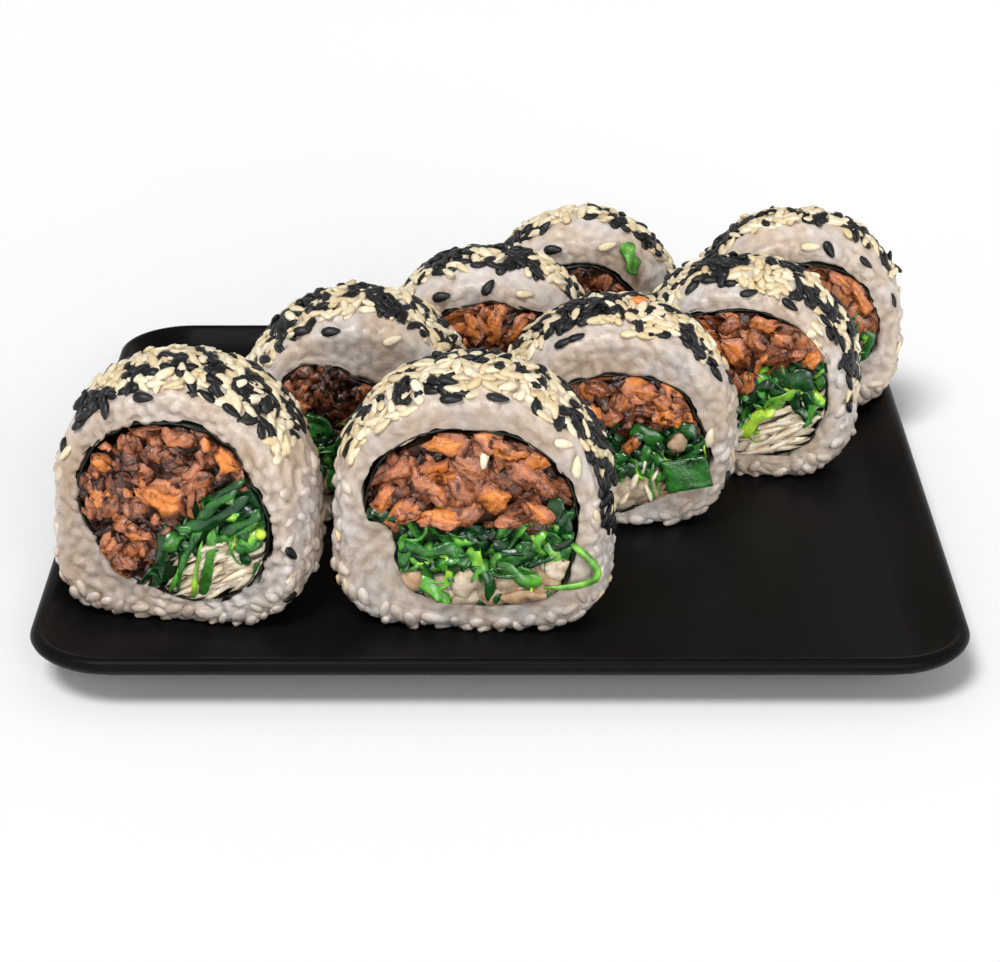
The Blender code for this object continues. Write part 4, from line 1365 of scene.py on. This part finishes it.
def make_salmon(name, materials):
    """The flaked salmon at the top of a roll's filling."""
    roll = ROLLS[name]
    rng = np.random.default_rng(roll["seed"] + 200)
    shift = SALMON_SHIFT.get(name, 0.0)
    shapes = []
    front = SALMON_FRONT.get(name, USUAL_SALMON)
    for side, fans, scale, small in ((-1, *front), (1, *SALMON_BACK)):
        shapes += flake_fans(roll, rng, side, fans, scale, shift)
        shapes += crumbs(
            roll, rng, side, (None, "salmon_to"), small, 1.9 * MM, (1.6, 3.2),
            lambda: salmon_tone(rng, shift),
        )
    for (x, z), length, width, turn, tone in BIG_FLAKES.get(name, ()):
        shape = flake(rng, length * MM, width * MM, 2.2 * MM, -0.3, 12, 9, 0.16)
        spot = (x * MM, z * MM)
        tilt = rng.normal(0, 0.14)
        edge = rng.normal(0, 0.28)
        shapes.append(laid(roll, -1, shape, spot, 1.2 * MM, math.radians(turn), tilt, edge, tone))
    if name == TOP_CRUMB[0]:
        points, faces, painted_shading = lump(rng, *(side * MM for side in TOP_CRUMB[2]))
        tone = np.clip(TOP_CRUMB[3] + painted_shading, 0, 1)
        shapes.append((points + np.array(TOP_CRUMB[1]) * MM, faces, tone))
    made = filling_piece("salmon_flakes", "salmon", name, shapes, materials)


def strand_path(rng, spot, y, side, turn, length, curl):
    """A wandering path that rises out of the food and sinks into it again."""
    steps = 11
    heading = turn
    bend = rng.normal(0, curl)
    x, z = spot
    path = []
    for i in range(steps):
        share = i / (steps - 1)
        height = 1.2 * MM * math.sin(math.pi * share) + 0.25 * MM * math.sin(9 * share)
        path.append((x, y + side * height, z))
        bend += rng.normal(0, curl * 0.6)
        heading += bend
        x += math.cos(heading) * length / steps
        z += math.sin(heading) * length / steps
    return path


def random_strands(roll, rng, side, count, hanging, drape):
    """Thin strands of the salad, lying any way or hanging down."""
    shapes = []
    face = 0.0 if side < 0 else roll["size"][1]
    for spot in region_spots(roll, side, *EDGE_NAMES, count, rng, 0.8 * MM, drape):
        y = face + side * rng.uniform(-0.3, 0.7) * MM
        turn = rng.normal(-1.9, 0.35) if hanging else rng.uniform(0, 2 * math.pi)
        length = rng.uniform(4, 8) * MM
        path = strand_path(rng, spot, y, side, turn, length, 0.06 if hanging else 0.12)
        twist = (rng.normal(0, 0.5), rng.normal(0, 0.7))
        fine = rng.uniform() < 0.4
        half_width = rng.uniform(0.25, 0.4) if fine else rng.uniform(0.6, 1.4)
        points, faces = ribbon(path, half_width * MM, 0.18 * MM, twist, ruffle=0.2)
        points = inside_hollow(roll, points, 0.6 * MM)
        # Painted shade: strands high in the hollow, under the salmon, are painted darker and low
        # ones lighter.
        low = (roll["hollow"][1] - spot[1]) / roll["hollow"][3]
        tone = rng.normal(0.36 + 0.24 * low + 0.25 * fine, 0.18)
        shapes.append((points, faces, float(np.clip(tone, 0.05, 0.92))))
    return shapes


def face_path(places, depths):
    """A smooth path through places (x, z) of a cut face, y from the depths along it."""
    flat = smooth_path(places, len(depths)) * MM
    return np.stack([flat[:, 0], depths, flat[:, 1]], axis=1)


def bold_bands(name, rng):
    """The wide ribbons that can be told apart in the front face."""
    roll = ROLLS[name]
    shapes = []
    for half_width, tone, places in BANDS.get(name, ()):
        share = np.linspace(0, 1, BAND_POINTS)
        rise = 0.5 * MM + (1.0 + 0.3 * rng.uniform(-1, 1)) * MM * np.sin(math.pi * share) ** 0.6
        path = face_path(places, -rise)
        thick = min(half_width * 0.45, 0.34) * MM
        twist = (rng.normal(0, 0.25), rng.normal(0, 0.5))
        points, faces = ribbon(path, half_width * MM, thick, twist, 10, ruffle=0.35)
        points = inside_hollow(roll, points, 0.7 * MM)
        shine = 0.10 * lumps(points, 1.8 * MM, roll["seed"] + 70)
        shapes.append((points, faces, np.clip(tone + shine, 0, 1)))
    return shapes


def leaf_square():
    """A thin wavy square of leaf, upright in the cut face."""
    share = np.linspace(-1, 1, LEAF_POINTS)
    s, t = np.meshgrid(share, share, indexing="ij")
    x = (LEAF_MIDDLE[0] + s * LEAF_ACROSS[0] + t * LEAF_UP[0]) * MM
    z = (LEAF_MIDDLE[1] + s * LEAF_ACROSS[1] + t * LEAF_UP[1]) * MM
    wave = -2.1 * MM + 0.12 * MM * np.sin(2.6 * s + 1.2 * t) + 0.25 * MM * t
    behind = np.stack([x, wave + 0.3 * MM, z], axis=-1)
    front = np.stack([x, wave - 0.3 * MM, z], axis=-1)
    return slab(behind[::-1], front[::-1])


def special_greens(name):
    """The loose strand, the leaf and the bead."""
    shapes = []
    if name == STRAND_ROLL:
        radius, tone, places = STRAND
        depths = np.interp(np.linspace(0, 1, STRAND_POINTS), *zip(*STRAND_DEPTHS)) * MM
        path = face_path(places, depths)
        points, faces = ribbon(path, radius * MM, 0.8 * radius * MM, (0, 0.6), 8)
        shapes.append((points, faces, tone))
    if name == LEAF_ROLL:
        shapes.append((*leaf_square(), LEAF_TONE))
    if name == BEAD_ROLL:
        (x, z), radius = BEAD
        points, faces = PEBBLE
        shapes.append((points * radius * MM + np.array([x, -2.2, z]) * MM, faces, 1.0))
    return shapes


def make_salad(name, materials):
    """The green strands in the middle of a roll's filling."""
    roll = ROLLS[name]
    rng = np.random.default_rng(roll["seed"] + 300)
    shapes = []
    drape = SALAD_DRAPE.get(name, USUAL_DRAPE)
    front = SALAD_FRONT.get(name, USUAL_SALAD)
    for side, strands, leaves in ((-1, *front), (1, *SALAD_BACK)):
        shapes += crumbs(
            roll, rng, side, EDGE_NAMES, leaves, 1.4 * MM, (3.0, 6.0),
            lambda: rng.uniform(0.10, 0.80),
        )
        shapes += random_strands(roll, rng, side, strands, name == HANGING_ROLL, drape)
    shapes += bold_bands(name, rng)
    shapes += special_greens(name)
    made = filling_piece("wakame", "seaweed_salad", name, shapes, materials)


def make_cheese(name, materials):
    """The cheese at the bottom of a roll's filling, in leaning layers or in lumps."""
    roll = ROLLS[name]
    rng = np.random.default_rng(roll["seed"] + 400)
    slant = CHEESE_SLANT.get(name, 0.0)
    layered = name in LAYERED_ROLLS
    count, spacing, loose, usual_tone = CHEESE_LAYERS if layered else CHEESE_LUMPS
    shapes = []
    for side in (-1, 1):
        for spot in region_spots(roll, side, "cheese_to", None, count, rng, spacing):
            depth = rng.uniform(0.0, 0.8) * MM
            turn = slant + rng.normal(0, loose)
            tone = float(np.clip(rng.normal(usual_tone, 0.15), 0, 1))
            tilts = rng.normal(0, 0.18, 2)
            if layered:
                size = (rng.uniform(6, 11) * MM, rng.uniform(0.9, 1.7) * MM, 0.9 * MM)
                shape = flake(rng, *size, rng.uniform(-0.3, 0.1))
            else:
                size = rng.uniform([4.5, 2.8, 1.4], [8.5, 4.6, 2.0]) * MM
                shape = lump(rng, *size, 0.2)
            shapes.append(laid(roll, side, shape, spot, depth, turn, *tilts, tone))
    for (x, z), length, width, turn, tone in BIG_LUMPS.get(name, ()):
        shape = lump(rng, length * MM, width * MM, 2.0 * MM, 0.34, BALL)
        spot = (x * MM, z * MM)
        shapes.append(laid(roll, -1, shape, spot, 1.3 * MM, math.radians(turn), 0, 0, tone))
    made = filling_piece("cheese", "cream_cheese", name, shapes, materials)


def make_sheet(name, material):
    """The thin seaweed sheet, ragged at its cut edges."""
    roll = ROLLS[name]
    shift, middle, half_x, half_z = roll["hollow"]
    back = roll["size"][1]
    angles = np.linspace(0, 2 * np.pi, SHEET_POINTS, endpoint=False)
    seed = roll["seed"] + 500
    outside = [(0, depth) for depth in SHEET_DEPTHS]
    inside = [(1, depth) for depth in reversed(SHEET_DEPTHS)]
    rows = []
    for inward, depth in outside + inside:
        rim = np.stack([np.cos(angles), np.sin(angles), np.full(SHEET_POINTS, depth * 3)], axis=1)
        rim *= half_x
        wave = lumps(rim, 3.0 * MM, seed) * 0.2 * MM
        thick = (0.25 + 0.15 * lumps(rim, 1.8 * MM, seed + 1)) * MM
        ragged = lumps(rim, 1.4 * MM, seed + 2) * 0.45 * MM
        pull = 0.15 * MM + wave + inward * thick
        x, z = oval(angles, half_x - pull, half_z - pull, HOLLOW_POWER)
        size = hollow_size(roll, x + shift, depth * back, z + middle)
        x, z = x * size, z * size
        proud = 0.1 * MM + ragged
        y = depth * back + (proud if depth == 1.0 else -proud if depth == 0.0 else 0.0)
        rows.append(np.stack([x + shift, y + 0 * x, z + middle], axis=1))
    points = np.array(rows).reshape(-1, 3)
    faces = grid_faces(len(rows), SHEET_POINTS, True, True)
    shape = (placed(roll, points), faces, np.zeros(len(points)))
    sheet = piece(f"nori_{name}", shape, [material])
    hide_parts(f"seaweed_sheet_{name}")


def make_shred(material):
    """The green shred on the rice of the back roll."""
    roll = ROLLS[SHRED_ROLL]
    half_width, tone, places = SHRED
    depths = np.interp(np.linspace(0, 1, SHRED_POINTS), *zip(*SHRED_DEPTHS)) * MM
    path = face_path(places, depths)
    points, faces = ribbon(path, half_width * MM, 0.25 * MM, (0.2, 0.7), 8, ruffle=0.5)
    shape = (placed(roll, points), faces, np.full(len(points), tone))
    shred = piece("green_shred", shape, [material])


# Studio


def aim_from(obj, place, aim):
    """Places an object and turns its -Z towards a point."""
    obj.location = place
    direction = Vector(aim) - Vector(place)
    obj.rotation_euler = direction.to_track_quat("-Z", "Y").to_euler()


def make_studio():
    """The white floor, the light around, two lamps and the camera."""
    scene = bpy.context.scene
    scene.view_settings.view_transform = "Standard"
    corners = [(x * FLOOR_REACH, y * FLOOR_REACH, 0) for x, y in FLOOR_CORNERS]
    mesh = bpy.data.meshes.new("studio_floor")
    mesh.from_pydata(corners, [], [(0, 1, 2, 3)])
    mesh.materials.append(floor_material())
    floor = bpy.data.objects.new("studio_floor", mesh)
    scene.collection.objects.link(floor)

    world = bpy.data.worlds.new("studio")
    world.use_nodes = True
    tree = world.node_tree
    direction = tree.nodes.new("ShaderNodeTexCoord")
    parts = tree.nodes.new("ShaderNodeSeparateXYZ")
    tree.links.new(direction.outputs["Generated"], parts.inputs["Vector"])
    glow = ramp_node(tree, parts.outputs["Z"], WORLD_STOPS)
    tree.links.new(glow, tree.nodes["Background"].inputs["Color"])
    scene.world = world

    for name, place, strength, spread_angle in SUNS:
        light = bpy.data.lights.new(name, "SUN")
        light.energy = strength
        light.angle = math.radians(spread_angle)
        lamp = bpy.data.objects.new(name, light)
        aim_from(lamp, place, (0.0, 0.0, 0.0))
        scene.collection.objects.link(lamp)

    camera = bpy.data.cameras.new("camera")
    camera.sensor_width = SENSOR_WIDTH
    camera.lens = CAMERA_LENS
    view = bpy.data.objects.new("camera", camera)
    view.location = CAMERA_PLACE
    view.rotation_euler = (math.radians(90 - CAMERA_DIP), 0.0, 0.0)
    scene.collection.objects.link(view)
    scene.camera = view


def main():
    make_plate()
    rice = rice_material()
    sheet = sheet_material()
    salad_finish = salad_material()
    # Each filling's second material is painted shade, for the solid behind its loose pieces.
    salmon = [salmon_material(), painted_shade_material("salmon_painted_shade", (0.075, 0.026, 0.011), 0.4)]
    salad = [salad_finish, painted_shade_material("salad_painted_shade", (0.012, 0.070, 0.014), 0.4)]
    cheese = [cheese_material(), painted_shade_material("cheese_painted_shade", (0.44, 0.37, 0.25))]
    sesame_shapes = {kind: [] for kind in SEED_FINISH}
    for name in ROLLS:
        surface = make_rice(name, rice)
        add_seeds(name, surface, sesame_shapes)
        make_sheet(name, sheet)
        make_salmon(name, salmon)
        make_salad(name, salad)
        make_cheese(name, cheese)
    make_shred(salad_finish)
    for kind, finish in SEED_FINISH.items():
        name = f"{kind}_sesame"
        seeds = piece(name, join(sesame_shapes[kind]), [seed_material(name, *finish)])
    make_studio()


main()
